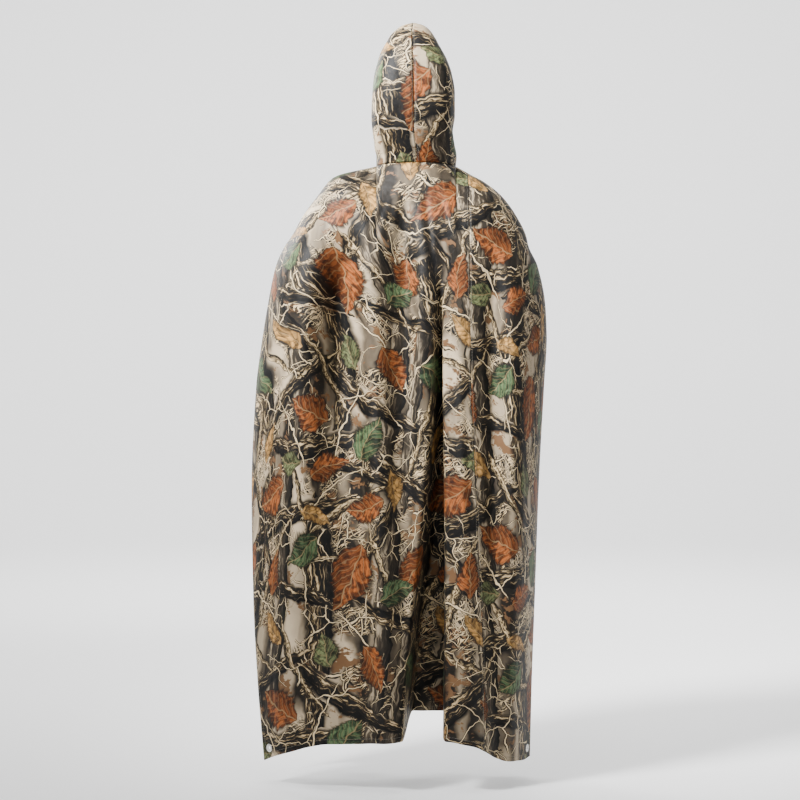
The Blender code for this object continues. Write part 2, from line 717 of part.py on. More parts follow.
def eyelet(name, place, into, metal):
    """Make a pressed metal eyelet, a turned ring whose two lips hold the cloth between them."""
    top = WALL + SEAM_GAP
    foot = -SEAM_GAP
    profile = (
        (EYELET_HOLE, top + EYELET_LIP * 0.7),
        (EYELET_BARREL + 0.001, top + EYELET_LIP),
        (EYELET_RADIUS - 0.001, top + EYELET_LIP * 0.8),
        (EYELET_RADIUS, top),
        (EYELET_BARREL, top),
        (EYELET_BARREL, foot),
        (EYELET_RADIUS - 0.0005, foot),
        (EYELET_RADIUS - 0.0005, foot - EYELET_LIP / 2),
        (EYELET_HOLE, foot - EYELET_LIP / 2),
    )
    ring = bmesh.new()
    verts = [ring.verts.new((radius, 0, height)) for radius, height in profile]
    for a, b in zip(verts, verts[1:] + verts[:1]):
        ring.edges.new((a, b))
    mesh = bpy.data.meshes.new(name)
    ring.to_mesh(mesh)
    ring.free()
    made = add_object(name, mesh, into, metal)
    made.matrix_world = place
    turn = made.modifiers.new("turn", "SCREW")
    turn.steps = turn.render_steps = EYELET_SIDES
    turn.use_merge_vertices = True
    turn.merge_threshold = 0.00001
    return made


def panel_lines():
    """Yield each body panel's name, face, mesh lines, rows and whether its free side is the left one."""
    seam_top = seam_x(0.0)
    for face, hem, rows in ((BACK, BACK_HEM, BACK_ROWS), (FRONT, FRONT_HEM, FRONT_ROWS)):
        prefix = "back" if face == BACK else "front"
        steps = 3 if face == BACK else 2
        left = side_x(face, True, hem[0].height)
        right = side_x(face, False, hem[-1].height)
        seam_hem = seam_x(hem_height(face, seam_x(HEM_LEVEL)))
        neck = [
            Line(0.042, neck_x(0.1), BACK_NECK_STEPS // 10),
            Line(-0.084, neck_x(0.9), BACK_NECK_STEPS * 8 // 10),
            Line(-0.112, neck_x(1.0), BACK_NECK_STEPS // 10),
        ]
        if face == FRONT:
            neck = [Line(-0.112, neck_x(1.0), FRONT_NECK_STEPS)]
        main = [
            Line(left, left_of(SLIT_TOP), 0),
            Line(cell_x(face, True), 0.3690, 1),
            Line(0.270, 0.335, 3),
            Line(0.200, 0.262, 3),
            Line(0.145, 0.190, 2),
            Line(0.100, neck_x(0.0), steps),
            *neck,
            Line(seam_hem + SEAM_MARGIN, seam_top + SEAM_MARGIN, 2),
            Line(seam_hem + SEAM_GAP / 2, seam_top + SEAM_GAP / 2, 1),
        ]
        strip = [
            Line(seam_hem - SEAM_GAP / 2, seam_top - SEAM_GAP / 2, 0),
            Line(seam_hem - SEAM_MARGIN, seam_top - SEAM_MARGIN, 1),
            Line(-0.200, -0.190, steps),
            Line(-0.240, -0.260, 3),
            Line(cell_x(face, False), -0.3180, 2),
            Line(right, -right_of(SLIT_TOP), 1),
        ]
        yield prefix + "_main", face, main, rows, True
        yield prefix + "_strip", face, strip, rows, False


def main():
    for old in list(bpy.data.objects):
        bpy.data.objects.remove(old, do_unlink=True)
    poncho = collection("rain_poncho")
    cutters = collection("cutters")
    metal = material("eyelet_metal", METAL_COLOUR, 0.35, 1.0)

    for name, face, lines, row_count, is_left in panel_lines():
        rows = panel_grid(face, lines, is_left, row_count)
        middle, normal, along = flatten_corner(rows, is_left)
        ends, suffixes = lengths_of(face, is_left)
        for length, suffix in zip(in_lengths(rows, ends), suffixes):
            panel = cloth_wall(name + suffix, length, lambda p: Vector((p.x, p.y, 0)), poncho)
        if normal.dot(Vector((middle.x, middle.y, 0))) < 0:
            normal = -normal
        place = corner_frame(middle, normal, along)
        cut_eyelet_hole(panel, place, cutters)
        corner = "eyelet_" + name.split("_")[0] + ("_left" if is_left else "_right")
        eyelet(corner, place, poncho, metal)

    head = Vector((0, 0, 0.15))
    for name, side in (("hood_left", 1), ("hood_right", -1)):
        cloth_wall(name, hood_grid(side), lambda p: p - head, poncho)


if __name__ == "__main__":
    main()
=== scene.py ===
"""A hooded rain poncho in a woodland print, in its worn form and empty, over a pale studio floor.

Metres, +Z up.  The front of the garment faces -Y and the wearer's left side is +X.  The origin is the
middle of the neck opening.  The cloth of each panel and of each half of the hood is a thin shell on the
form of its solid, with finer folds, turned hems, stitches and eyelets.
"""

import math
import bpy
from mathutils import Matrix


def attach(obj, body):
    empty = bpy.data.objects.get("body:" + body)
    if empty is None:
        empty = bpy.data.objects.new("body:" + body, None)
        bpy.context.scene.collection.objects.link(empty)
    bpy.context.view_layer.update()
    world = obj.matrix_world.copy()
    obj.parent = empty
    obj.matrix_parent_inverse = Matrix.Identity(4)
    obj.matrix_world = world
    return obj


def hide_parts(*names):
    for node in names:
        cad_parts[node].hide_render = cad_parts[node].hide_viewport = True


bl_info = {
    "name": "Rain Poncho",
    "version": (1, 0, 0),
    "blender": (4, 5, 0),
    "location": "View3D > Sidebar > Poncho",
    "description": "Cloth, sewing, eyelets and studio of a hooded rain poncho",
    "category": "Object",
}

from collections import namedtuple

import bmesh
import bpy
import numpy as np
from bpy.props import FloatProperty, FloatVectorProperty, IntProperty, PointerProperty
from mathutils import Matrix, Vector

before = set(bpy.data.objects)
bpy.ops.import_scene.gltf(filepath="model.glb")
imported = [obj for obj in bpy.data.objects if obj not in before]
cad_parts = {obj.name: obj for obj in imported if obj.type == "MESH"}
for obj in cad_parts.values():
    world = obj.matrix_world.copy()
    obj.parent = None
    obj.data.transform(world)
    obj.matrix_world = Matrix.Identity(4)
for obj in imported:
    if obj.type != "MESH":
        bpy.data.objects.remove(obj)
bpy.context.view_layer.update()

BACK = 1
FRONT = -1


def table(kind, *rows):
    """Return the rows of a table, with the names of their columns."""
    return tuple(kind(*row) for row in rows)


# ---------------------------------------------------------------- the garment's form
NECK_HALF_WIDTH = 0.0955    # neck opening
NECK_HALF_DEPTH = 0.0925
NECK_CENTRE_X = -0.0025
NECK_CENTRE_Y = -0.0075
NECK_FRONT_DROP = 0.035     # the opening dips at the throat

SLIT_TOP = -0.42            # the sides are open from here down
FRONT_INSET = 0.010         # the front's side edges hang this much inside the back's
INSET_DROP = 0.25           # height in which they come inside
HEM_LEVEL = -1.45           # below the lowest point of the hem

# the cloth's outline seen from behind: half-widths to the wearer's left and right
Outline = namedtuple("Outline", "height left right")
BODY_OUTLINE = table(
    Outline,
    (0.0, 0.093, 0.098), (-0.0245, 0.192, 0.142), (-0.035, 0.208, 0.162), (-0.0735, 0.238, 0.211),
    (-0.1225, 0.274, 0.247), (-0.1715, 0.301, 0.271), (-0.196, 0.318, 0.2765),
    (-0.245, 0.34, 0.299), (-0.343, 0.36, 0.318), (-0.4165, 0.372, 0.321), (-0.539, 0.387, 0.314),
    (-0.784, 0.397, 0.301), (-1.05, 0.392, 0.292), (-1.25, 0.381, 0.285), (-1.45, 0.364, 0.28),
)

# how far the cloth stands behind and in front of the shoulder line
Depth = namedtuple("Depth", "height back front")
BODY_DEPTH = table(
    Depth,
    (0.0, 0.1, 0.095), (-0.1, 0.128, 0.128), (-0.25, 0.142, 0.15), (-0.5, 0.14, 0.15),
    (-0.75, 0.156, 0.152), (-1.05, 0.166, 0.16), (-1.45, 0.176, 0.166),
)

# side edges below the slit's top: the middle of the gap, the gap, how far in the cloth rounds to its
# full depth, and how much it flares out flat there instead of turning in, on each side
SideEdge = namedtuple(
    "SideEdge",
    "height left_middle left_gap right_middle right_gap round_left round_right flare_left flare_right",
)
SIDE_EDGES = table(
    SideEdge,
    (0.0, 0.0, 0.0, 0.0, 0.0, 0.16, 0.16, 0.0, 0.0),
    (-0.42, -0.004, 0.0, -0.004, 0.0, 0.15, 0.15, 0.0, 0.0),
    (-0.55, -0.006, 0.026, -0.012, 0.022, 0.15, 0.14, 0.0, 0.0),
    (-0.8, -0.004, 0.056, -0.028, 0.048, 0.17, 0.12, 0.08, 0.05),
    (-1.1, 0.002, 0.078, -0.036, 0.064, 0.2, 0.12, 0.45, 0.4),
    (-1.45, 0.01, 0.096, -0.04, 0.076, 0.23, 0.13, 1.0, 1.0),
)

# the long seam between the main panels and the strips
SeamRow = namedtuple("SeamRow", "height x")
LONG_SEAM = table(
    SeamRow,
    (0.0, -0.128), (-0.45, -0.13), (-0.87, -0.146), (-1.26, -0.16), (-1.45, -0.163),
)

# ridges (+) and troughs (-) that fall from the shoulders
Fold = namedtuple("Fold", "x_top x_hem start full width_top width_hem depth depth_hem")
BACK_FOLDS = table(
    Fold,
    (0.27, 0.3, -0.1, -0.33, 0.075, 0.09, 0.03, 0.006),  # left arm
    (0.178, 0.16, -0.1, -0.34, 0.075, 0.09, -0.042, -0.014),  # left hollow
    (0.12, 0.06, -0.06, -0.3, 0.05, 0.05, 0.016, 0.022),  # left blade
    (0.035, 0.02, -0.02, -0.2, 0.05, 0.04, -0.022, -0.004),  # spine
    (-0.03, -0.01, -0.1, -0.35, 0.04, 0.04, 0.016, 0.0),  # right of spine
    (-0.105, -0.12, -0.12, -0.55, 0.05, 0.055, 0.012, 0.018),  # right roll
    (-0.185, -0.192, -0.12, -0.45, 0.045, 0.05, -0.022, -0.026),  # right hollow
    (-0.235, -0.236, -0.1, -0.5, 0.055, 0.05, 0.016, 0.014),  # right arm
    (0.24, 0.245, -0.7, -1.1, 0.06, 0.07, -0.012, -0.016),  # left low trough
)
FRONT_FOLDS = table(
    Fold,
    (0.275, 0.3, -0.1, -0.36, 0.08, 0.09, 0.026, 0.004),  # left arm
    (0.19, 0.215, -0.1, -0.38, 0.07, 0.08, -0.036, -0.03),  # left hollow
    (0.11, 0.12, -0.08, -0.28, 0.06, 0.075, 0.014, 0.03),  # left breast
    (0.01, 0.02, -0.12, -0.55, 0.065, 0.08, -0.016, -0.052),  # middle
    (-0.085, -0.085, -0.08, -0.28, 0.055, 0.06, 0.014, 0.026),  # right breast
    (-0.165, -0.18, -0.1, -0.38, 0.06, 0.055, -0.032, -0.03),  # right hollow
    (-0.24, -0.24, -0.1, -0.4, 0.065, 0.055, 0.022, 0.01),  # right arm
)

# creases of the limp cloth, from one place to another; + stands out and - lies in
Crease = namedtuple("Crease", "x_start z_start x_end z_end width depth")
BACK_CREASES = table(
    Crease,
    (0.085, -0.02, 0.19, -0.15, 0.02, 0.0045), (0.11, -0.05, 0.24, -0.135, 0.016, -0.0035),
    (0.06, -0.06, 0.125, -0.26, 0.018, -0.004), (0.035, -0.03, 0.06, -0.21, 0.015, 0.0035),
    (-0.06, -0.035, -0.1, -0.19, 0.016, 0.0035), (-0.085, -0.03, -0.165, -0.14, 0.015, -0.003),
    (-0.02, -0.05, -0.045, -0.3, 0.014, -0.0045), (-0.14, -0.09, -0.225, -0.25, 0.018, 0.0035),
    (0.15, -0.17, 0.215, -0.42, 0.022, -0.0045), (0.23, -0.23, 0.275, -0.52, 0.02, 0.004),
    (0.3, -0.27, 0.325, -0.48, 0.016, -0.0035), (0.09, -0.29, 0.075, -0.62, 0.016, 0.003),
    (0.055, -0.36, 0.045, -0.76, 0.014, -0.0035), (0.012, -0.38, 0.028, -0.82, 0.013, 0.004),
    (0.225, -0.56, 0.23, -0.9, 0.022, -0.004), (0.165, -0.62, 0.14, -1.06, 0.02, 0.0035),
    (0.32, -0.62, 0.33, -0.98, 0.018, -0.0035), (0.275, -0.82, 0.28, -1.22, 0.022, 0.004),
    (0.105, -0.86, 0.095, -1.27, 0.016, -0.004), (0.215, -1.04, 0.205, -1.4, 0.02, -0.0035),
    (0.33, -1.12, 0.325, -1.42, 0.016, 0.003), (0.07, -1.08, 0.066, -1.39, 0.014, 0.0035),
    (-0.115, -0.48, -0.125, -0.86, 0.014, -0.003), (-0.155, -0.6, -0.165, -0.98, 0.015, 0.0035),
    (-0.21, -0.52, -0.215, -0.82, 0.014, -0.0035), (-0.255, -0.64, -0.252, -1.04, 0.013, 0.003),
    (-0.14, -0.96, -0.145, -1.32, 0.014, -0.0035), (-0.215, -1.02, -0.22, -1.4, 0.014, 0.003),
    (-0.285, -0.33, -0.292, -0.56, 0.013, -0.003), (0.19, -0.17, 0.176, -0.68, 0.036, -0.01),
    (0.024, -0.12, 0.014, -0.8, 0.017, -0.0075), (-0.014, -0.26, -0.01, -0.76, 0.014, 0.0055),
    (0.124, -0.7, 0.116, -1.37, 0.024, -0.0085), (0.236, -0.78, 0.23, -1.39, 0.034, -0.009),
    (0.084, -0.44, 0.078, -1.36, 0.022, 0.0055), (-0.108, -0.3, -0.118, -1.3, 0.016, 0.004),
)
FRONT_CREASES = table(
    Crease,
    (0.08, -0.04, 0.18, -0.18, 0.02, 0.0045), (0.05, -0.07, 0.1, -0.26, 0.018, -0.004),
    (-0.055, -0.07, -0.09, -0.24, 0.016, 0.0035), (-0.085, -0.05, -0.175, -0.17, 0.016, -0.0035),
    (0.005, -0.09, -0.01, -0.34, 0.016, -0.004), (0.21, -0.2, 0.25, -0.47, 0.02, 0.004),
    (0.15, -0.33, 0.155, -0.7, 0.02, 0.0035), (0.06, -0.4, 0.05, -0.84, 0.018, -0.004),
    (-0.04, -0.38, -0.045, -0.76, 0.016, 0.004), (-0.13, -0.42, -0.14, -0.82, 0.015, -0.0035),
    (-0.21, -0.36, -0.215, -0.72, 0.015, 0.0035), (0.29, -0.48, 0.3, -0.86, 0.02, -0.0035),
    (0.11, -0.76, 0.105, -1.18, 0.02, 0.004), (0.01, -0.84, 0.02, -1.26, 0.018, -0.0045),
    (-0.1, -0.86, -0.105, -1.3, 0.015, 0.0035), (0.24, -0.9, 0.245, -1.3, 0.02, 0.0035),
    (-0.22, -0.9, -0.222, -1.32, 0.014, -0.003), (0.18, -1.02, 0.176, -1.34, 0.016, -0.0035),
)

# the deep inward fold of the back: where its two walls start, and how deep it is
Recess = namedtuple("Recess", "height left right depth left_slope")
BACK_RECESS = table(
    Recess,
    (-0.24, -0.048, -0.066, 0.0, 0.026), (-0.42, -0.038, -0.074, 0.036, 0.026),
    (-0.57, -0.032, -0.078, 0.066, 0.03), (-0.78, -0.016, -0.081, 0.094, 0.038),
    (-0.95, 0.002, -0.082, 0.118, 0.04), (-1.1, 0.018, -0.082, 0.14, 0.036),
    (-1.27, 0.03, -0.08, 0.158, 0.03), (-1.45, 0.037, -0.078, 0.168, 0.024),
)
RECESS_RIGHT_SLOPE = 0.016  # the right wall is steep
RECESS_OVERHANG = 0.010     # and its edge rolls over the fold
RECESS_LIFT = 0.046         # the hem is drawn up inside the fold
ROLL_REACH = 0.030          # the roll spreads this far to each side of the right wall
ROLL_DEPTH = 0.080          # and is full where the fold is this deep
FOLD_BOTTOM = 0.002         # least half-width of the fold's bottom
# the mesh lines gather on the fold's walls from the first height down to the second,
# between the long seam and a line that falls from the shoulder
GATHER_TOP = -0.14
GATHER_FULL = -0.44
GATHER_LINE_TOP = 0.190
GATHER_LINE_HEM = 0.145

# the height of the lower edge
HemRow = namedtuple("HemRow", "x height")
BACK_HEM = table(
    HemRow,
    (0.365, -1.4425), (0.3375, -1.4278), (0.3, -1.4125), (0.2512, -1.397), (0.2, -1.387),
    (0.13, -1.384), (0.04, -1.3765), (-0.0745, -1.376), (-0.1144, -1.3815), (-0.1393, -1.3873),
    (-0.1638, -1.4026), (-0.189, -1.4221), (-0.2135, -1.4323), (-0.24, -1.4366), (-0.267, -1.4444),
    (-0.28, -1.443),
)
FRONT_HEM = table(
    HemRow,
    (0.356, -1.398), (0.27, -1.352), (0.0, -1.338), (-0.2, -1.356), (-0.27, -1.392),
)

# hood, seen from behind
HOOD_OUTLINE = table(
    Outline,
    (-0.035, 0.09, 0.095), (0.0, 0.092, 0.098), (0.022, 0.094, 0.0985), (0.045, 0.1, 0.091),
    (0.073, 0.1005, 0.089), (0.122, 0.103, 0.095), (0.172, 0.1025, 0.095), (0.22, 0.098, 0.088),
    (0.258, 0.088, 0.076), (0.294, 0.0735, 0.059), (0.318, 0.064, 0.049), (0.333, 0.053, 0.042),
    (0.341, 0.045, 0.035), (0.3455, 0.026, 0.017),
)
# the hood is a fan of flat sections that turn about a line in front of the throat
HINGE_Y = -0.35
HINGE_Z = -0.08
Fan = namedtuple("Fan", "angle seam edge mouth")
HOOD_FAN = table(
    Fan,
    (10.4, 0.4423, 0.254, 0.0),
    (17.0, 0.476, 0.25, 0.036),
    (24.0, 0.514, 0.256, 0.056),
    (30.5, 0.548, 0.27, 0.069),
    (37.4, 0.574, 0.295, 0.077),
    (43.3, 0.582, 0.32, 0.081),
    (48.1, 0.57, 0.352, 0.082),
    (53.9, 0.529, 0.396, 0.076),
    (57.5, 0.496, 0.424, 0.065),
    (60.5, 0.46, 0.443, 0.047),
)
BROW_START = 54.5           # from this section on the hood opens out into the brow
BROW_LEAN = 2.0             # degrees by which the crown reaches further forward than the temples
BROW_ARCH = 0.6             # 1 is a pointed brow, 0 a level one
HOOD_ROUNDING = 0.40        # share of a section in which it rounds from the seam to the side
HOOD_SQUARENESS = 3.2       # 2 is an ellipse
NECK_BLEND = 14.0           # degrees over which the neck ring opens into the fan
HOOD_LIFT = 0.0005          # the hood starts this far over the neck ring

# creases of the hood, as places in x (towards the side), y and z
HoodCrease = namedtuple("HoodCrease", "side start end width depth")
HOOD_CREASES = table(
    HoodCrease,
    (-1, (-0.095, -0.01, 0.046), (-0.02, 0.095, 0.04), 0.012, -0.005),
    (-1, (-0.097, -0.02, 0.022), (-0.045, 0.085, 0.018), 0.014, 0.0035),
    (-1, (-0.085, 0.06, 0.07), (-0.07, 0.095, 0.2), 0.016, -0.003),
    (-1, (-0.09, -0.06, 0.05), (-0.09, -0.02, 0.2), 0.016, 0.003),
    (-1, (-0.06, 0.04, 0.29), (-0.085, -0.05, 0.23), 0.014, -0.003),
    (1, (0.092, 0.0, 0.012), (0.05, 0.09, 0.055), 0.014, -0.0035),
    (1, (0.1, 0.03, 0.06), (0.085, 0.075, 0.19), 0.016, 0.003),
    (1, (0.1, -0.05, 0.06), (0.1, -0.03, 0.21), 0.016, -0.003),
    (1, (0.07, 0.04, 0.29), (0.09, -0.05, 0.24), 0.014, 0.003),
    (1, (0.04, 0.11, 0.08), (0.05, 0.108, 0.18), 0.012, -0.002),
)

SHOULDER_DROP_NECK = 0.17   # height in which the cloth turns from level to upright
SHOULDER_DROP_ARM = 0.06
SHOULDER_REACH = 0.09       # the first of them changes into the second this far beside the neck
FREE_EDGE = 0.03            # folds flatten within this of a free edge
FREE_EDGE_SHARE = 0.25      # to this part of their depth
CREASE_TAPER = 0.7          # below 1 a crease keeps its depth nearer to its ends

# ---------------------------------------------------------------- the cloth's mesh
# mesh lines of a panel: where each meets the hem and the top edge, and its steps from the line before
Line = namedtuple("Line", "x_hem x_top steps")
LEFT_LINES = table(Line, (0.27, 0.335, 11), (0.2, 0.262, 11), (0.145, 0.19, 9))
RIGHT_LINES = table(Line, (-0.2, -0.19, 9), (-0.24, -0.26, 11))
# those that end at the neck have a share of the half turn round it in place of the top edge's x
BACK_NECK_LINES = table(Line, (0.1, 0.0, 11), (0.042, 0.1, 8), (-0.084, 0.9, 64), (-0.112, 1.0, 8))
FRONT_NECK_LINES = table(Line, (0.1, 0.0, 11), (-0.112, 1.0, 60))
LEFT_CELL_TOP = 0.369       # where the finer mesh along the side edges meets the top edge
RIGHT_CELL_TOP = -0.318
RIGHT_CELL_STEPS = 18
CORNER = 0.040              # finer mesh along the free edges
CORNER_STEPS = 16
BODY_ROWS = 200
COLUMN_SAMPLES = 500
EDGE_SAMPLES = 400
HOOD_ROWS = 84
HOOD_SEAM_SHARE = 0.03      # finer mesh beside the crown's seam
HOOD_SEAM_STEPS = 4
HOOD_BACK_STEPS = 44
HOOD_SIDE_STEPS = 42
BODY_CENTRE = (0.0, 0.0, -0.7)      # places inside, from which the cloth faces outwards
HOOD_CENTRE = (0.0, 0.0, 0.15)
INSIDE_GRID = 1.001         # the last place between grid lines, counted from their number
SEAM_LINE = 0.003           # mesh lines beside the long seam
SEAM_STEPS = 3
SEAM_SIDE_STEPS = 7
CLOTH_STANDS = 0.0016       # the printed face stands this far off the solids' inner face
BAND_GAP = 0.00015          # between the cloth and its turned hem
BAND_START = 0.0004         # the turned hem starts this far inside the fold
BAND_LINES = 5
BAND_SLANT = 0.7            # its print runs aslant to the cloth's
STITCH_PLACE = 0.82         # the hem's stitches, as a share of its width
SEWING_SAMPLES = 2          # of a line of stitches, for each row of the mesh
SEAM_START_ROW = 4          # the seam's stitches start below the shoulder
MERGE = 1e-5                # points this near to each other are one
THREAD_SIDES = 6
THREAD_RINGS = 4
EYELET_BASE = 0.0009        # the pressed eyelet reaches this far behind the cloth
EYELET_FLAT = 0.011
EYELET_BLEND = 0.012
EYELET_CUT = 0.0062

# each piece's flat cut and the place of its print
Cut = namedtuple("Cut", "width length area shift_u shift_v")
CUTS = {
    "back_main": Cut(0.94, 1.47, 1.15, 0.00, 0.00),
    "back_strip": Cut(0.47, 1.47, 0.40, 0.23, 0.31),
    "front_main": Cut(0.90, 1.42, 0.93, 0.37, 0.18),
    "front_strip": Cut(0.47, 1.41, 0.33, 0.11, 0.52),
    "hood_left": Cut(0.36, 0.42, 0.12, 0.45, 0.27),
    "hood_right": Cut(0.36, 0.42, 0.12, 0.19, 0.43),
}


# ---------------------------------------------------------------- small maths
def smooth_curve(places, values):
    """Return a function that runs smoothly through the values and never overshoots them."""
    order = np.argsort(places)
    places = np.array(places, float)[order]
    values = np.array(values, float)[order]
    steps = np.diff(places)
    rises = np.diff(values) / steps
    product = rises[:-1] * rises[1:]
    total = np.where(product > 0, rises[:-1] + rises[1:], 1.0)
    inner = np.where(product > 0, 2 * product / total, 0.0)
    slopes = np.concatenate([rises[:1], inner, rises[-1:]])

    def curve(place):
        place = np.clip(place, places[0], places[-1])
        i = np.clip(np.searchsorted(places, place, side="right") - 1, 0, len(steps) - 1)
        t = (place - places[i]) / steps[i]
        return (
            values[i] * (1 + 2 * t) * (1 - t) ** 2
            + values[i + 1] * t * t * (3 - 2 * t)
            + steps[i] * (slopes[i] * t * (1 - t) ** 2 - slopes[i + 1] * t * t * (1 - t))
        )

    return curve


def curves_of(rows):
    """Return the smooth curves of a table's columns over its first column, by name."""
    names = rows[0]._fields
    places, *columns = zip(*rows)
    return {name: smooth_curve(places, values) for name, values in zip(names[1:], columns)}


def ease(t):
    t = np.clip(t, 0.0, 1.0)
    return t * t * (3 - 2 * t)


def quarter_round(t):
    """Rise from 0 to 1 as a quarter of a circle does, starting upright."""
    t = np.clip(t, 0.0, 1.0)
    return np.sqrt(1 - (1 - t) ** 2)


def side_round(t, flare):
    """Rise from 0 to 1 as a quarter of a circle does, or from a slope where the cloth flares."""
    return mix(quarter_round(t), np.sin(np.pi / 2 * np.clip(t, 0.0, 1.0)), flare)


def both(a, b):
    """Return a soft minimum of two shares: each alone where the other is 1."""
    a = np.maximum(a, 1e-9)
    b = np.maximum(b, 1e-9)
    k = 3
    return a * b / (a ** k + b ** k - (a * b) ** k) ** (1 / k)


def mix(a, b, share):
    return a + (b - a) * share


def mound(away):
    """Return 1 in the middle of a fold and 0 from one half-width away on."""
    return (1 + np.cos(np.pi * np.minimum(away, 1.0))) / 2


def unit(vectors):
    return vectors / np.maximum(np.linalg.norm(vectors, axis=-1, keepdims=True), 1e-12)


def lengths_along(points):
    """Return the length run from the first point to each point of a line."""
    steps = np.linalg.norm(np.diff(points, axis=0), axis=1)
    return np.concatenate([[0.0], np.cumsum(steps)])


# ---------------------------------------------------------------- curves from the tables
left_of, right_of = curves_of(BODY_OUTLINE).values()
back_depth, front_depth = curves_of(BODY_DEPTH).values()
(seam_x,) = curves_of(LONG_SEAM).values()
side_curves = curves_of(SIDE_EDGES)
recess_curves = curves_of(BACK_RECESS)
(back_hem,) = curves_of(BACK_HEM).values()
(front_hem,) = curves_of(FRONT_HEM).values()
hood_left_of, hood_right_of = curves_of(HOOD_OUTLINE).values()
fan_curves = curves_of(HOOD_FAN)


def side_x(face, left, height):
    """Return where a side edge is: the front's edges hang just inside the back's."""
    sign = 1 if left else -1
    outline = left_of if left else right_of
    inset = FRONT_INSET * ease((SLIT_TOP - height) / INSET_DROP) if face == FRONT else 0.0
    return sign * (outline(height) - inset)


def side_y(face, left, height):
    """Return how far back or forward a side edge hangs."""
    side = "left" if left else "right"
    return side_curves[side + "_middle"](height) + face * side_curves[side + "_gap"](height) / 2


def recess_share(x, height):
    """Return 0 outside the back's deep fold and 1 at its bottom."""
    left = recess_curves["left"](height)
    right = recess_curves["right"](height)
    left_slope = recess_curves["left_slope"](height)
    return ease((left - x) / left_slope) * ease((x - right) / RECESS_RIGHT_SLOPE)


def folds(face, x, height):
    """Return how far the ridges and troughs move the cloth outwards."""
    total = 0.0
    for fold in BACK_FOLDS if face == BACK else FRONT_FOLDS:
        down = ease((fold.start - height) / (fold.start - fold.full))
        lower = np.clip((fold.full - height) / (fold.full - HEM_LEVEL), 0.0, 1.0)
        centre = mix(fold.x_top, fold.x_hem, np.clip(height / HEM_LEVEL, 0.0, 1.0))
        width = mix(fold.width_top, fold.width_hem, lower)
        depth = mix(fold.depth, fold.depth_hem, lower)
        total = total + down * depth * mound(abs(x - centre) / width)
    return total


def creases(face, x, height, depth):
    """Return how far the creases move the cloth outwards."""
    total = 0.0
    for crease in BACK_CREASES if face == BACK else FRONT_CREASES:
        run_x = crease.x_end - crease.x_start
        run_z = crease.z_end - crease.z_start
        off_x, off_z = x - crease.x_start, height - crease.z_start
        along = np.clip((off_x * run_x + off_z * run_z) / (run_x ** 2 + run_z ** 2), 0.0, 1.0)
        away = np.hypot(off_x - along * run_x, off_z - along * run_z)
        taper = np.sin(np.pi * along) ** CREASE_TAPER
        total = total + crease.depth * taper * mound(away / crease.width)
    return total * depth


def hang(face, top, x, height, crease_depth):
    """Return the cloth's points at x and height on the line that hangs from a point of the top edge."""
    on_neck = 1 - ease((abs(top[0] - NECK_CENTRE_X) - NECK_HALF_WIDTH) / SHOULDER_REACH)
    drop = mix(SHOULDER_DROP_ARM, SHOULDER_DROP_NECK, on_neck)
    below = (top[2] - height) / drop
    upright = quarter_round(below)
    to_left = side_x(face, True, height) - x
    to_right = x - side_x(face, False, height)
    across = side_round(to_left / side_curves["round_left"](height), side_curves["flare_left"](height))
    far = side_round(to_right / side_curves["round_right"](height), side_curves["flare_right"](height))
    across = across * far
    middle = ease(to_left / np.maximum(to_left + to_right, 1e-6))
    edge_y = mix(side_y(face, True, height), side_y(face, False, height), middle)
    start_y = mix(top[1], edge_y, ease(below / 2))
    full_y = back_depth(height) if face == BACK else -front_depth(height)
    y = mix(start_y, full_y, both(upright, across))
    lying = ease(below) * ease(np.minimum(to_left, to_right) / FREE_EDGE + FREE_EDGE_SHARE)
    y = y + face * (folds(face, x, height) + creases(face, x, height, crease_depth)) * lying
    if face == BACK:
        share = recess_share(x, height)
        depth = recess_curves["depth"](height)
        y = y - depth * share
        off_wall = abs(x - recess_curves["right"](height) - RECESS_RIGHT_SLOPE / 2)
        roll = ease(depth / ROLL_DEPTH) * (1 - ease(off_wall / ROLL_REACH))
        x = x + RECESS_OVERHANG * roll * np.cos(np.pi * share)
    return np.stack(np.broadcast_arrays(x, y, height), axis=-1)


# ---------------------------------------------------------------- edges of the panels
def neck_point(face, angle):
    """Return a point of the neck opening; angle 0 is at the wearer's left, a half turn at the right."""
    x = NECK_CENTRE_X + NECK_HALF_WIDTH * math.cos(angle)
    y = NECK_CENTRE_Y + face * NECK_HALF_DEPTH * math.sin(angle)
    z = 0.0 if face == BACK else -NECK_FRONT_DROP * math.sin(angle) ** 2
    return x, y, z


def neck_angle(x):
    return math.acos(min(max((x - NECK_CENTRE_X) / NECK_HALF_WIDTH, -1.0), 1.0))


def neck_x(turn):
    """Return the x of the neck opening at a share of the half turn from left to right."""
    return NECK_CENTRE_X + NECK_HALF_WIDTH * math.cos(math.pi * turn)


def spread(face, start, end, steps):
    """Return the top edge's points between two x values, without the first."""
    limit = NECK_HALF_WIDTH + 1e-6
    if max(abs(start - NECK_CENTRE_X), abs(end - NECK_CENTRE_X)) <= limit:
        first, last = neck_angle(start), neck_angle(end)
        return [neck_point(face, mix(first, last, i / steps)) for i in range(1, steps + 1)]
    left = start + end > 0
    outline = left_of if left else right_of
    heights = SLIT_TOP * np.linspace(0, 1, EDGE_SAMPLES) ** 2
    ridge = np.stack([outline(heights), heights], axis=-1)
    lengths = lengths_along(ridge)
    first, last = np.interp([abs(start), abs(end)], ridge[:, 0], lengths)
    found = []
    for i in range(1, steps + 1):
        z = float(np.interp(mix(first, last, i / steps), lengths, heights))
        x = outline(z) if left else -outline(z)
        found.append((float(x), float(side_y(face, left, z)), z))
    return found


def hem_height(face, x):
    """Return the height of the lower edge, which is drawn up inside the deep fold."""
    if face == FRONT:
        return front_hem(x)
    return back_hem(x) + RECESS_LIFT * recess_share(x, back_hem(x))


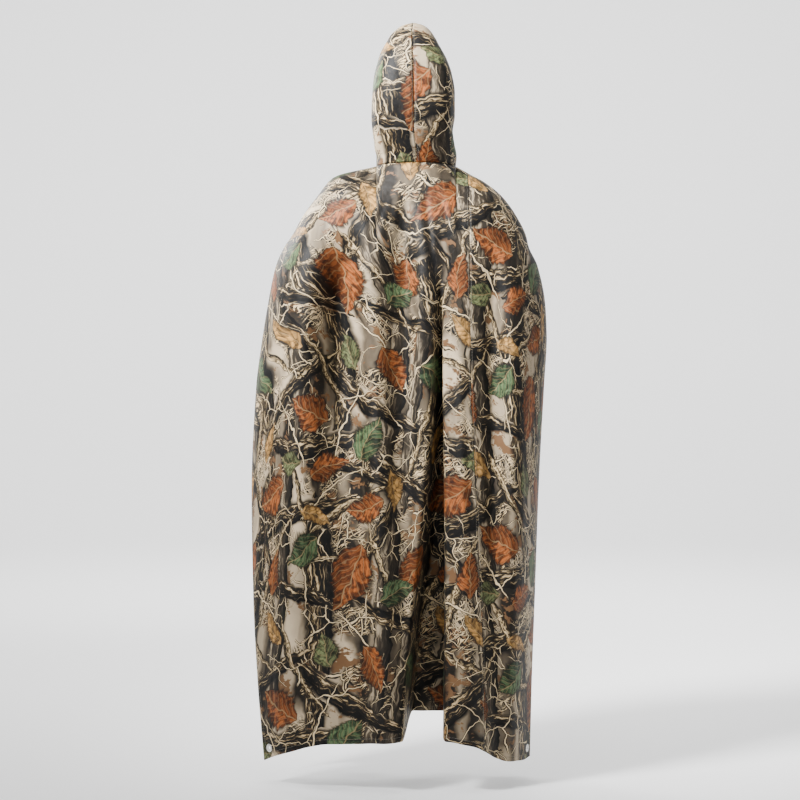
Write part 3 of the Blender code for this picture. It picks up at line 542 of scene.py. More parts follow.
def hem_edge(face):
    """Return the lower edge from left to right, as x values with the cloth's length between them."""
    xs = np.linspace(side_x(face, True, HEM_LEVEL), side_x(face, False, HEM_LEVEL), EDGE_SAMPLES * 2)
    points = hang(face, (0.0, 0.0, 0.0), xs, hem_height(face, xs), 0.0)
    return xs, lengths_along(points)


def cell_x(face, left):
    """Return the x, at the hem, of the inner side of the finer mesh along a side edge."""
    xs, lengths = hem_edge(face)
    at = CORNER if left else lengths[-1] - CORNER
    return float(np.interp(at, lengths, xs))


def panel_columns(face, lines):
    """Return the mesh lines of a panel, each as its point on the top edge and its x at the hem."""
    xs, lengths = hem_edge(face)
    start = lines[0]
    columns = [(spread(face, start.x_top, start.x_top, 1)[0], start.x_hem)]
    for before, line in zip(lines, lines[1:]):
        tops = spread(face, before.x_top, line.x_top, line.steps)
        first, last = np.interp([-before.x_hem, -line.x_hem], -xs, lengths)
        for i, top in enumerate(tops, 1):
            at = mix(first, last, i / line.steps)
            columns.append((top, float(np.interp(at, lengths, xs))))
    return columns


def bulge(curve, start, end, height):
    """Return how far a curve stands off the straight line between two of its heights."""
    off = curve(height) - mix(curve(start), curve(end), (start - height) / (start - end))
    return np.where(height >= start, 0.0, off)


def gather_knots(height):
    """Return the x of the lines between which the back's mesh lines are shared out."""
    left, right = recess_curves["left"](height), recess_curves["right"](height)
    wall_ends = (right + RECESS_RIGHT_SLOPE, left - recess_curves["left_slope"](height))
    middle = sum(wall_ends) / 2
    half = np.maximum((wall_ends[1] - wall_ends[0]) / 2, FOLD_BOTTOM)
    outer = mix(GATHER_LINE_TOP, GATHER_LINE_HEM, height / back_hem(GATHER_LINE_HEM))
    return [seam_x(height), right, middle - half, middle + half, left, outer]


def gathered(x, x_hem, bottom, height):
    """Return the x of a mesh line of the main back panel, gathered on the walls of the deep fold."""
    at_hem = gather_knots(bottom)
    if not at_hem[0] < x_hem < at_hem[-1]:
        return x
    i = int(np.searchsorted(at_hem, x_hem)) - 1
    share = (x_hem - at_hem[i]) / (at_hem[i + 1] - at_hem[i])
    knots = gather_knots(height)
    on_walls = mix(knots[i], knots[i + 1], share)
    return mix(x, on_walls, ease((GATHER_TOP - height) / (GATHER_TOP - GATHER_FULL)))


def panel_points(face, is_left, lines, crease_depth):
    """Return the points of a panel's cloth, row by row from its top edge down to its hem."""
    columns = panel_columns(face, lines)
    seam_hem = columns[-1][1] if columns[0][1] > 0 else columns[0][1]
    side_hem = columns[0][1] if columns[0][1] > 0 else columns[-1][1]
    side_bottom = hem_height(face, side_hem)
    found = []
    for top, x_hem in columns:
        bottom = hem_height(face, x_hem)
        outer = (x_hem - seam_hem) / (side_hem - seam_hem)

        def place(height):
            x = mix(top[0], x_hem, (top[2] - height) / (top[2] - bottom))
            x = x + outer * bulge(lambda z: side_x(face, is_left, z), SLIT_TOP, side_bottom, height)
            x = x + (1 - outer) * bulge(seam_x, top[2], bottom, height)
            if face == BACK and is_left:
                x = gathered(x, x_hem, bottom, height)
            return hang(face, top, x, height, crease_depth)

        drops = np.linspace(0, 1, COLUMN_SAMPLES) ** 2
        lengths = lengths_along(place(top[2] - (top[2] - bottom) * drops))
        wanted = np.concatenate([
            np.linspace(0, lengths[-1] - CORNER, BODY_ROWS - CORNER_STEPS, endpoint=False),
            np.linspace(lengths[-1] - CORNER, lengths[-1], CORNER_STEPS + 1),
        ])
        drops = np.interp(wanted, lengths, drops)
        found.append(place(top[2] - (top[2] - bottom) * drops))
    return np.stack(found, axis=1)


def panel_lines(face):
    """Return the mesh lines of the main panel and of the strip on one face of the garment."""
    seam_top = float(seam_x(0.0))
    hem = BACK_HEM if face == BACK else FRONT_HEM
    left = float(side_x(face, True, hem[0].height))
    right = float(side_x(face, False, hem[-1].height))
    seam_hem = float(seam_x(hem_height(face, seam_x(HEM_LEVEL))))
    neck = BACK_NECK_LINES if face == BACK else FRONT_NECK_LINES
    main = [
        Line(left, float(left_of(SLIT_TOP)), 0),
        Line(cell_x(face, True), LEFT_CELL_TOP, CORNER_STEPS),
        *LEFT_LINES,
        *(Line(line.x_hem, neck_x(line.x_top), line.steps) for line in neck),
        Line(seam_hem + SEAM_LINE, seam_top + SEAM_LINE, SEAM_SIDE_STEPS),
        Line(seam_hem, seam_top, SEAM_STEPS),
    ]
    strip = [
        Line(seam_hem, seam_top, 0),
        Line(seam_hem - SEAM_LINE, seam_top - SEAM_LINE, SEAM_STEPS),
        *RIGHT_LINES,
        Line(cell_x(face, False), RIGHT_CELL_TOP, RIGHT_CELL_STEPS),
        Line(right, -float(right_of(SLIT_TOP)), CORNER_STEPS),
    ]
    return main, strip


# ---------------------------------------------------------------- hood
def fan_points(angle, shares, open_share):
    """Return points of one flat section: their places in the section's plane and their half-widths."""
    round_way = (1 - np.cos(np.pi * shares)) / 2
    open_way = 1 - np.cos(np.pi * shares / 2)
    way = mix(round_way, open_way, open_share)
    distance = mix(fan_curves["seam"](angle), fan_curves["edge"](angle), way)
    mouth = fan_curves["mouth"](angle)
    brow = ease((angle - BROW_START) / (HOOD_FAN[-1].angle - BROW_START))
    turn = np.radians(angle + BROW_LEAN * brow * (1 - way))
    y = HINGE_Y + distance * np.cos(turn)
    z = HINGE_Z + distance * np.sin(turn)
    half = mix((hood_left_of(z) + hood_right_of(z)) / 2, mouth, brow)
    rounding = mix(HOOD_ROUNDING, 1.0, brow)
    arch_way = np.minimum(way / rounding, 1.0)
    arch = (1 - (1 - arch_way) ** HOOD_SQUARENESS) ** (1 / HOOD_SQUARENESS)
    arch = arch * (1 - (1 - mouth / half) * ease((way - rounding) / (1.000001 - rounding)))
    arch = mix(arch, way ** BROW_ARCH, brow)
    return half * mix(np.sin(np.pi * shares), arch, open_share), y, z


def hood_ring(shares):
    """Return the neck opening's half-widths, y and heights, from the back (0) to the throat (1)."""
    y = NECK_HALF_DEPTH * np.cos(np.pi * shares)
    z = np.where(y > 0, 0.0, -NECK_FRONT_DROP * (y / NECK_HALF_DEPTH) ** 2)
    return NECK_HALF_WIDTH * np.sin(np.pi * shares), NECK_CENTRE_Y + y, z


def hood_row(side, angle, shares):
    """Return a row of one hood half; the shares run from the seam (0) to the face edge (1)."""
    start = HOOD_FAN[0].angle
    opened = ease((angle - start) / NECK_BLEND)
    here = fan_points(angle, shares, opened)
    neck = fan_points(start, shares, 0.0)
    ring = hood_ring(shares)
    half, y, z = (h + (r - n) * (1 - opened) for h, r, n in zip(here, ring, neck))
    middle = mix(NECK_CENTRE_X, (hood_left_of(z) - hood_right_of(z)) / 2, opened)
    z = z + HOOD_LIFT * (1 - opened)
    return np.stack([middle + side * np.maximum(half, 0.0), y, z], axis=-1)


def hood_points(side):
    """Return the points of one hood half, row by row from the neck to the forehead."""
    shares = np.concatenate([
        np.linspace(0, HOOD_SEAM_SHARE, HOOD_SEAM_STEPS, endpoint=False),
        np.linspace(HOOD_SEAM_SHARE, 0.5, HOOD_BACK_STEPS, endpoint=False),
        np.linspace(0.5, 1.0, HOOD_SIDE_STEPS),
    ])
    start, end = HOOD_FAN[0].angle, HOOD_FAN[-1].angle
    angles = np.linspace(start, end, HOOD_ROWS + 1)
    return np.stack([hood_row(side, angle, shares) for angle in angles])


def crease_hood(points, normals, side, depth):
    """Move the hood's points along their normals by its creases."""
    for crease in HOOD_CREASES:
        if crease.side != side:
            continue
        start, end = np.array(crease.start), np.array(crease.end)
        run = end - start
        along = np.clip((points - start) @ run / (run @ run), 0.0, 1.0)
        away = np.linalg.norm(points - start - along[..., None] * run, axis=-1)
        lift = crease.depth * depth * np.sin(np.pi * along) ** CREASE_TAPER
        points = points + normals * (lift * mound(away / (2 * crease.width)))[..., None]
    return points


# ---------------------------------------------------------------- cloth
class Cloth:
    """A grid of points of one piece of cloth, with what the sewing and the print need to know of it."""

    def __init__(self, name, points, centre):
        self.name = name
        self.points = points
        self.normals = self.find_normals(centre)
        self.across = self.run(1)
        self.down = self.run(0)

    def find_normals(self, centre):
        normals = unit(np.cross(np.gradient(self.points, axis=1), np.gradient(self.points, axis=0)))
        outwards = ((self.points - centre) * normals).sum()
        return normals if outwards > 0 else -normals

    def run(self, axis):
        """Return each point's length run from the first row (axis 0) or column (axis 1)."""
        steps = np.linalg.norm(np.diff(self.points, axis=axis), axis=-1)
        start = np.zeros_like(steps[:1] if axis == 0 else steps[:, :1])
        return np.concatenate([start, np.cumsum(steps, axis=axis)], axis=axis)

    def offset(self, distance):
        self.points = self.points + self.normals * distance

    def at(self, rows, columns):
        """Return points and normals at fractional rows and columns."""
        rows = np.clip(rows, 0, self.points.shape[0] - INSIDE_GRID)
        columns = np.clip(columns, 0, self.points.shape[1] - INSIDE_GRID)
        r, c = rows.astype(int), columns.astype(int)
        s, t = (rows - r)[:, None], (columns - c)[:, None]
        found = []
        for field in (self.points, self.normals):
            top = mix(field[r, c], field[r, c + 1], t)
            low = mix(field[r + 1, c], field[r + 1, c + 1], t)
            found.append(mix(top, low, s))
        return found


def flatten_at(cloth, centre, axis, distance):
    """Press the cloth flat round an eyelet, at a distance from its base along its axis."""
    off = cloth.points - centre
    height = off @ axis
    radius = np.linalg.norm(off - height[..., None] * axis, axis=-1)
    share = 1 - ease((radius - EYELET_FLAT) / EYELET_BLEND)
    cloth.points = cloth.points + ((distance - height) * share)[..., None] * axis
    return radius


def frame_eyelet(node):
    """Return a packed eyelet's base point and outward axis."""
    corners = np.array([v.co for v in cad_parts[node].data.vertices], float)
    centre = corners.mean(axis=0)
    axis = np.linalg.svd(corners - centre, full_matrices=False)[2][2]
    if axis @ np.array([centre[0], centre[1], 0.0]) < 0:
        axis = -axis
    heights = (corners - centre) @ axis
    return centre + axis * (heights.min() + EYELET_BASE), axis


def new_collection(name):
    found = bpy.data.collections.get(name)
    if not found:
        found = bpy.data.collections.new(name)
        bpy.context.scene.collection.children.link(found)
    return found


def mesh_of(name, shape):
    """Turn a shape into a smooth mesh."""
    mesh = bpy.data.meshes.new(name)
    shape.to_mesh(mesh)
    shape.free()
    mesh.shade_smooth()
    return mesh


def turned_mesh(name, outline, closed, sides, place=None):
    """Turn an outline of distances and heights round the upright axis, and put it in its place."""
    shape = bmesh.new()
    verts = [shape.verts.new((distance, 0, height)) for distance, height in outline]
    ends = verts[1:] + verts[:1] if closed else verts[1:]
    edges = [shape.edges.new(pair) for pair in zip(verts, ends)]
    bmesh.ops.spin(
        shape,
        geom=verts + edges,
        axis=(0, 0, 1),
        cent=(0, 0, 0),
        angle=2 * math.pi,
        steps=sides,
        use_merge=True,
    )
    bmesh.ops.remove_doubles(shape, verts=shape.verts, dist=MERGE)
    bmesh.ops.recalc_face_normals(shape, faces=shape.faces)
    if place is not None:
        bmesh.ops.transform(shape, matrix=place, verts=shape.verts)
    return mesh_of(name, shape)


def add_piece(name, mesh, materials):
    made = bpy.data.objects.new(name, mesh)
    for finish in materials:
        mesh.materials.append(finish)
    new_collection("poncho").objects.link(made)
    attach(made, "root")
    return made


def thicken(piece, thickness, inner_slot):
    """Give a sheet its thickness, inwards from its outer face."""
    wall = piece.modifiers.new("thickness", "SOLIDIFY")
    wall.thickness = thickness
    wall.offset = -1
    wall.material_offset = inner_slot
    return piece


def grid_mesh(name, points, normals, uv, jump=None, distances=(), hole=None):
    """Make a mesh on a grid of points.

    uv holds the print's places, or two sets of them that meet at the jump column.  distances holds
    named values for each point, and hole the distance of each point from the middle of an eyelet.
    """
    rows, columns = points.shape[:2]
    sheet = bmesh.new()
    bmesh.ops.create_grid(sheet, x_segments=columns - 1, y_segments=rows - 1, size=1)
    sheet.verts.index_update()
    for vert, point in zip(sheet.verts, points.reshape(-1, 3)):
        vert.co = point
    sheet.normal_update()
    outward = normals.reshape(-1, 3)
    if sum(face.normal.dot(Vector(outward[face.verts[0].index])) for face in sheet.faces) < 0:
        bmesh.ops.reverse_faces(sheet, faces=sheet.faces)
    layer = sheet.loops.layers.uv.new("print")
    for face in sheet.faces:
        right = jump is not None and min(v.index % columns for v in face.verts) >= jump
        for loop in face.loops:
            loop[layer].uv = uv[int(right)][loop.vert.index // columns, loop.vert.index % columns]
    for label, values in distances:
        layer = sheet.verts.layers.float.new(label)
        for vert, value in zip(sheet.verts, values.reshape(-1)):
            vert[layer] = value
    if hole is not None:
        near = hole.reshape(-1)
        inside = [f for f in sheet.faces if np.mean([near[v.index] for v in f.verts]) < EYELET_CUT]
        bmesh.ops.delete(sheet, geom=inside, context="FACES")
    return mesh_of(name, sheet)


def print_places(cloth, cut, reference, jump=None):
    """Return the print's places on the cloth in metres: along a row from the reference column, and down.

    Right of the jump column they are measured from the long seam below the head of the deep fold,
    so that the print hangs straight on both sides of the fold.
    """
    u = cloth.across - cloth.across[:, reference:reference + 1]
    height = cloth.points[..., 2]
    v = np.empty_like(u)
    for c in range(u.shape[1]):
        level = np.interp(-SLIT_TOP, -height[:, c], cloth.down[:, c])
        v[:, c] = SLIT_TOP + level - cloth.down[:, c]
    left = np.stack([u + cut.shift_u, v + cut.shift_v], axis=-1)
    if jump is None:
        return [left], None
    head = int(np.searchsorted(-height[:, jump], -BACK_RECESS[0].height))
    seam = u[:, -1:].copy()
    seam[head:] = seam[head]
    right = np.stack([seam - (u[:, -1:] - u) + cut.shift_u, v + cut.shift_v], axis=-1)
    return [left, right], jump


# ---------------------------------------------------------------- sewing
def stitch_row(points, normals, settings):
    """Return the stitches of a row along a line on the cloth, each as three half-axes and its middle."""
    lengths = lengths_along(points)
    pitch = settings.stitch_pitch
    places = np.arange(pitch / 2, lengths[-1] - pitch / 2, pitch)
    spots = np.stack([np.interp(places, lengths, points[:, i]) for i in range(3)], axis=-1)
    ups = np.stack([np.interp(places, lengths, normals[:, i]) for i in range(3)], axis=-1)
    ahead = np.stack([np.interp(places + pitch / 4, lengths, points[:, i]) for i in range(3)], axis=-1)
    thick = settings.thread_width / 2
    along = unit(ahead - spots)
    ups = unit(ups)
    axes = (along * settings.stitch_length / 2, unit(np.cross(ups, along)) * thick, ups * thick)
    return np.stack([*axes, spots + ups * thick / 2], axis=1)


def row_at(cloth, distance):
    """Return the fractional row at a distance above the hem."""
    count = cloth.points.shape[0] - 1
    return count - distance / (CORNER / CORNER_STEPS)


def column_at(cloth, distance, from_last):
    """Return, for each row, the fractional column at a distance from a side edge."""
    found = []
    for across in cloth.across:
        at = across[-1] - distance if from_last else distance
        found.append(np.interp(at, across, np.arange(len(across))))
    return np.array(found)


def hem_stitches(cloth, settings, side_last):
    """Return the stitches of a panel's turned hem, along its lower edge and up its free side."""
    inset = settings.hem_width * STITCH_PLACE
    low = row_at(cloth, inset)
    side = column_at(cloth, inset, side_last)
    rows, columns = cloth.points.shape[:2]
    corner = side[int(low)]
    across = np.linspace(corner, 0 if side_last else columns - 1, columns * SEWING_SAMPLES)
    up = np.linspace(low, 0, rows * SEWING_SAMPLES)
    return [
        stitch_row(*cloth.at(np.full_like(across, low), across), settings),
        stitch_row(*cloth.at(up, np.interp(up, np.arange(rows), side)), settings),
    ]


def seam_stitches(cloth, settings, seam_last):
    """Return the stitches beside the long seam."""
    rows = cloth.points.shape[0]
    beside = column_at(cloth, settings.seam_inset, seam_last)
    down = np.linspace(SEAM_START_ROW, rows - 1, rows * SEWING_SAMPLES)
    return stitch_row(*cloth.at(down, np.interp(down, np.arange(rows), beside)), settings)


def band(name, cloth, places, finish, settings):
    """Make the turned-in band of a hem from rows of fractional places on the cloth."""
    rows = [cloth.at(r, c) for r, c in places]
    inwards = settings.cloth_thickness + BAND_GAP
    points = np.stack([p - n * inwards for p, n in rows])
    normals = np.stack([n for p, n in rows])
    uv = np.stack([points[..., 0] * BAND_SLANT + points[..., 1], points[..., 2]], axis=-1)
    piece = add_piece(name, grid_mesh(name, points, normals, [uv]), [finish])
    return thicken(piece, settings.cloth_thickness, 0)


def band_depths(settings):
    """Return how far inside the fold each mesh line of a turned hem runs."""
    return np.linspace(BAND_START, settings.hem_width, BAND_LINES)


def hem_bands(name, cloth, side_last, finish, settings):
    """Make the turned-in bands along a panel's lower edge and along its free side."""
    rows, columns = cloth.points.shape[:2]
    depths = band_depths(settings)
    across = np.arange(columns, dtype=float)
    low = [(np.full_like(across, row_at(cloth, d)), across) for d in depths]
    down = np.linspace(0, row_at(cloth, settings.hem_width), rows)
    edges = [column_at(cloth, d, side_last) for d in depths]
    side = [(down, np.interp(down, np.arange(rows), edge)) for edge in edges]
    return [
        band(name + "_hem", cloth, low, finish, settings),
        band(name + "_side_hem", cloth, side, finish, settings),
    ]


def stitches_piece(name, rows, finish):
    """Make the stitches of a piece from one lozenge of thread, repeated at their places."""
    places = np.concatenate(rows)
    sheet = bmesh.new()
    bmesh.ops.create_uvsphere(sheet, u_segments=THREAD_SIDES, v_segments=THREAD_RINGS, radius=1)
    mesh = bpy.data.meshes.new(name)
    sheet.to_mesh(mesh)
    sheet.clear()
    sheet.from_mesh(mesh)
    lozenge = np.array([v.co for v in sheet.verts])
    wanted = len(lozenge) * len(places)
    while len(sheet.verts) < wanted:
        bmesh.ops.duplicate(sheet, geom=sheet.verts[:] + sheet.edges[:] + sheet.faces[:])
    bmesh.ops.delete(sheet, geom=sheet.verts[:][wanted:], context="VERTS")
    spots = np.einsum("ki,nij->nkj", lozenge, places[:, :3]) + places[:, None, 3]
    for vert, spot in zip(sheet.verts, spots.reshape(-1, 3)):
        vert.co = spot
    sheet.to_mesh(mesh)
    sheet.free()
    mesh.shade_smooth()
    piece = add_piece(name, mesh, [finish])
    return piece


# ---------------------------------------------------------------- panels and hood
PRINT_LINE = 0.060          # the back's print is measured from the mesh line that meets the hem here

# the pressed eyelet's outline, as radius and height: its rolled front lip over the printed face, and
# its clenched back lip over its base
EYELET_FRONT = (
    (0.0042, 0.0004), (0.0047, 0.0011), (0.0056, 0.0014), (0.0078, 0.0012), (0.0093, 0.0007),
    (0.0099, 0.0001), (0.0096, -0.0001), (0.0052, -0.0001),
)
EYELET_BACK = (
    (0.0052, -0.0004), (0.0086, -0.0004), (0.0089, -0.0006), (0.0084, -0.0009), (0.0046, -0.0009),
    (0.0042, -0.0004),
)


def cloth_piece(name, mesh, solids, settings):
    """Make a piece of printed cloth with its plain reverse, in place of its solids."""
    piece = add_piece("cloth_" + name, mesh, [woodland_print(settings), plain_reverse(settings)])
    thicken(piece, settings.cloth_thickness, 1)
    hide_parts(*solids)
    return piece


def make_panel(face, name, is_left, lines, settings):
    """Make one panel of the body with its hem, stitches and the flat place for its eyelet."""
    points = panel_points(face, is_left, lines, settings.crease_depth)
    cloth = Cloth(name, points, np.array(BODY_CENTRE))
    cloth.offset(CLOTH_STANDS)
    corner = "eyelet_" + name.split("_")[0] + ("_left" if is_left else "_right")
    base, axis = frame_eyelet(corner)
    radius = flatten_at(cloth, base, axis, CLOTH_STANDS)
    tall = cloth.down[-1:] - cloth.down
    from_last = cloth.across[:, -1:] - cloth.across
    wide, beside_seam = (cloth.across, from_last) if is_left else (from_last, cloth.across)
    reference, jump = 0, None
    if face == BACK and is_left:
        reference = int(np.argmin(abs(cloth.points[-1, :, 0] - PRINT_LINE)))
        right_wall = gather_knots(HEM_LEVEL)[2]
        columns = panel_columns(face, lines)
        jump = next(i for i, column in enumerate(columns) if column[1] < right_wall)
    uv, jump = print_places(cloth, CUTS[name], reference, jump)
    distances = (
        ("edge_distance", np.minimum(tall, wide)),
        ("seam_distance", np.minimum(beside_seam, cloth.down)),
    )
    mesh = grid_mesh(name, cloth.points, cloth.normals, uv, jump, distances, radius)
    solids = [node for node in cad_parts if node.startswith(name)]
    piece = cloth_piece(name, mesh, solids, settings)
    sewing = hem_stitches(cloth, settings, not is_left) + [seam_stitches(cloth, settings, is_left)]
    extras = [stitches_piece("stitches_" + name, sewing, thread(settings))]
    extras += hem_bands(name, cloth, not is_left, woodland_print(settings), settings)


def make_panels(face, name, settings):
    """Make the main panel and the strip of one face of the garment."""
    main_lines, strip_lines = panel_lines(face)
    make_panel(face, name + "_main", True, main_lines, settings)
    make_panel(face, name + "_strip", False, strip_lines, settings)


def make_hood_half(side, name, settings):
    """Make one half of the hood with its face hem and its stitches."""
    cloth = Cloth(name, hood_points(side), np.array(HOOD_CENTRE))
    cloth.points = crease_hood(cloth.points, cloth.normals, side, settings.crease_depth)
    cloth.offset(CLOTH_STANDS)
    cut = CUTS[name]
    uv = np.stack([cloth.across * -side + cut.shift_u, cloth.down + cut.shift_v], axis=-1)
    to_face, to_brow = cloth.across[:, -1:] - cloth.across, cloth.down[-1:] - cloth.down
    distances = (
        ("edge_distance", np.minimum(to_face, to_brow)),
        ("seam_distance", np.minimum(cloth.across, cloth.down)),
    )
    mesh = grid_mesh(name, cloth.points, cloth.normals, [uv], distances=distances)
    piece = cloth_piece(name, mesh, [name], settings)
    down = np.arange(cloth.points.shape[0], dtype=float)
    edges = [column_at(cloth, depth, True) for depth in band_depths(settings)]
    places = [(down, edge) for edge in edges]
    extras = [band(name + "_face_hem", cloth, places, woodland_print(settings), settings)]
    lines = (
        column_at(cloth, settings.hem_width * STITCH_PLACE, True),
        column_at(cloth, settings.seam_inset, False),
    )
    sewing = [stitch_row(*cloth.at(down, line), settings) for line in lines]
    extras.append(stitches_piece("stitches_" + name, sewing, thread(settings)))


def make_eyelet(node, settings):
    """Make one pressed eyelet: a turned ring with a rolled front lip and a clenched back lip."""
    base, axis = frame_eyelet(node)
    outline = [(radius, CLOTH_STANDS + height) for radius, height in EYELET_FRONT]
    turn = Vector((0, 0, 1)).rotation_difference(Vector(axis)).to_matrix()
    place = Matrix.Translation(Vector(base)) @ turn.to_4x4()
    name = "pressed_" + node
    mesh = turned_mesh(name, [*outline, *EYELET_BACK], True, settings.eyelet_sides, place)
    piece = add_piece(name, mesh, [eyelet_metal(settings)])
    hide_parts(node)


# ---------------------------------------------------------------- shader nodes
def sum_of(operation):
    """Return a method that adds one node of maths to its field's tree."""
    return lambda self, *others: calc(operation, self, *others)


class Field:
    """An output in a shader tree. Sums that are written with it become nodes of that tree."""

    def __init__(self, socket):
        self.socket = socket

    __add__ = sum_of("ADD")
    __sub__ = sum_of("SUBTRACT")
    __mul__ = sum_of("MULTIPLY")
    __truediv__ = sum_of("DIVIDE")
    __abs__ = sum_of("ABSOLUTE")
    __lt__ = sum_of("LESS_THAN")
    line = sum_of("MULTIPLY_ADD")   # times the first value and plus the second
    least = sum_of("MINIMUM")
    most = sum_of("MAXIMUM")
    power = sum_of("POWER")
    fract = sum_of("FRACT")
    round = sum_of("ROUND")

    def __rsub__(self, other):
        return calc("SUBTRACT", other, self)


def connect(value, socket):
    if isinstance(value, Field):
        socket.id_data.links.new(value.socket, socket)
    elif value is not None:
        socket.default_value = value


def put(tree, kind, inputs, **settings):
    """Add a node with its settings and its inputs, by number or name."""
    made = tree.nodes.new(kind)
    for name, value in settings.items():
        setattr(made, name, value)
    for key, value in inputs.items():
        connect(value, made.inputs[key])
    return made


def result(kind, inputs, output=0, **settings):
    """Add a node to the tree of the fields that go into it, and return one of its outputs."""
    tree = next(value.socket.id_data for value in inputs.values() if isinstance(value, Field))
    return Field(put(tree, kind, inputs, **settings).outputs[output])


def calc(operation, *values, clamp=False):
    return result("ShaderNodeMath", dict(enumerate(values)), operation=operation, use_clamp=clamp)


def vector(operation, *values):
    output = "Value" if operation == "DOT_PRODUCT" else "Vector"
    return result("ShaderNodeVectorMath", dict(enumerate(values)), output, operation=operation)


def shaded(colour, tone):
    return vector("SCALE", colour, None, None, tone)


def over(share, below, above):
    """Lay one place over another where the share is 1."""
    return result("ShaderNodeMix", {0: share, 4: below, 5: above}, 1, data_type="VECTOR")


def paint(below, share, above):
    """Paint one colour over another by a share."""
    above = above if isinstance(above, Field) else (*above, 1.0)
    return result("ShaderNodeMix", {0: share, 6: below, 7: above}, 2, data_type="RGBA")


def scaled(rgb, factor):
    return tuple(c * factor for c in rgb)


def ramp(value, stops, steps=False):
    """Turn a value into a colour through stops of a place and a colour."""
    tree = value.socket.id_data
    made = put(tree, "ShaderNodeValToRGB", {0: value})
    made.color_ramp.interpolation = "CONSTANT" if steps else "LINEAR"
    elements = made.color_ramp.elements
    while len(elements) < len(stops):
        elements.new(0.5)
    for element, (place, rgb) in zip(elements, stops):
        element.position = place
        element.color = (*rgb, 1.0)
    return Field(made.outputs["Color"])


def rise(value, low, high):
    """Turn a value into a share that rises from 0 at low to 1 at high."""
    inputs = {"Value": value, "From Min": low, "From Max": high}
    return result("ShaderNodeMapRange", inputs, "Result", interpolation_type="SMOOTHSTEP")


def fall(value, low, high):
    """Turn a value into a share that falls from 1 at low to 0 at high."""
    return 1.0 - rise(value, low, high)


def stretch(place, scale, angle=0.0):
    """Return places stretched along two directions; angle turns them first."""
    if angle:
        place = result("ShaderNodeMapping", {"Vector": place, "Rotation": (0, 0, angle)})
    return result("ShaderNodeMapping", {"Vector": place, "Scale": scale})


def noise(place, scale, detail, rough, output=0):
    inputs = {"Vector": place, "Scale": scale, "Detail": detail, "Roughness": rough}
    return result("ShaderNodeTexNoise", inputs, output, noise_dimensions="2D")


def cracks(place, scale):
    """Return the distance to the lines between irregular cells."""
    settings = {"voronoi_dimensions": "2D", "feature": "DISTANCE_TO_EDGE"}
    return result("ShaderNodeTexVoronoi", {"Vector": place, "Scale": scale}, "Distance", **settings)


def split(where):
    made = put(where.socket.id_data, "ShaderNodeSeparateXYZ", {0: where})
    return [Field(part) for part in made.outputs]


def join(*parts):
    return result("ShaderNodeCombineXYZ", dict(enumerate(parts)))


# ---------------------------------------------------------------- the print
REPEAT_U = 0.62             # the print repeats after this far across
REPEAT_V = 0.71             # and after this far down

# limbs and twigs of the print: place, length, turn in degrees, half-widths at the two ends, and bow
Limb = namedtuple("Limb", "u v length turn start end bow")
DARK_LIMBS = table(
    Limb,
    (0.1, 0.35, 0.7, 87, 0.05, 0.032, 0.022), (0.405, 0.3, 0.68, 96, 0.026, 0.042, -0.024),
    (0.27, 0.575, 0.48, 13, 0.03, 0.016, 0.034), (0.52, 0.115, 0.4, -25, 0.024, 0.013, -0.03),
    (0.225, 0.165, 0.38, 36, 0.022, 0.013, 0.026), (0.54, 0.52, 0.34, 58, 0.021, 0.012, -0.022),
    (0.29, 0.395, 0.36, -9, 0.019, 0.011, 0.024), (0.03, 0.63, 0.33, -36, 0.02, 0.011, 0.018),
    (0.59, 0.33, 0.3, 161, 0.018, 0.01, 0.02), (0.33, 0.025, 0.4, 4, 0.027, 0.017, -0.026),
    (0.17, 0.48, 0.28, 122, 0.014, 0.008, 0.018), (0.47, 0.68, 0.3, -14, 0.017, 0.009, 0.02),
)
FAR_LIMBS = table(
    Limb,
    (0.255, 0.38, 0.76, 92, 0.034, 0.03, 0.01), (0.58, 0.3, 0.72, 88, 0.027, 0.031, -0.012),
    (0.01, 0.12, 0.52, 84, 0.022, 0.018, 0.014),
)
PALE_LIMBS = table(
    Limb,
    (0.205, 0.45, 0.33, 64, 0.0115, 0.006, 0.02), (0.35, 0.2, 0.3, -52, 0.0105, 0.0055, -0.018),
    (0.48, 0.61, 0.33, 24, 0.012, 0.006, 0.022), (0.05, 0.09, 0.31, 74, 0.0105, 0.006, -0.018),
    (0.57, 0.43, 0.28, -68, 0.0095, 0.005, 0.016), (0.29, 0.655, 0.24, 118, 0.009, 0.005, -0.014),
    (0.15, 0.25, 0.26, 148, 0.0085, 0.005, 0.016), (0.44, 0.47, 0.25, 8, 0.009, 0.0045, -0.018),
)
TWIGS = table(
    Limb,
    (0.06, 0.25, 0.22, 40, 0.0024, 0.001, 0.016), (0.12, 0.29, 0.14, 96, 0.0018, 0.0008, -0.01),
    (0.18, 0.36, 0.24, -22, 0.0026, 0.001, 0.018), (0.245, 0.33, 0.13, 68, 0.0018, 0.0008, 0.01),
    (0.33, 0.47, 0.25, 112, 0.0026, 0.0011, -0.02), (0.3, 0.52, 0.13, 158, 0.0018, 0.0008, 0.01),
    (0.43, 0.09, 0.24, 71, 0.0025, 0.001, 0.016), (0.47, 0.15, 0.15, 18, 0.0018, 0.0008, -0.012),
    (0.54, 0.26, 0.25, -48, 0.0026, 0.001, 0.018), (0.585, 0.19, 0.13, -100, 0.0017, 0.0008, 0.01),
    (0.02, 0.48, 0.23, 76, 0.0024, 0.001, -0.014), (0.16, 0.64, 0.24, -58, 0.0026, 0.0011, 0.018),
    (0.11, 0.56, 0.14, -14, 0.0018, 0.0008, -0.01), (0.4, 0.64, 0.23, 34, 0.0024, 0.001, 0.016),
    (0.25, 0.07, 0.23, 132, 0.0025, 0.001, -0.016), (0.51, 0.4, 0.21, 94, 0.0022, 0.0009, 0.014),
)
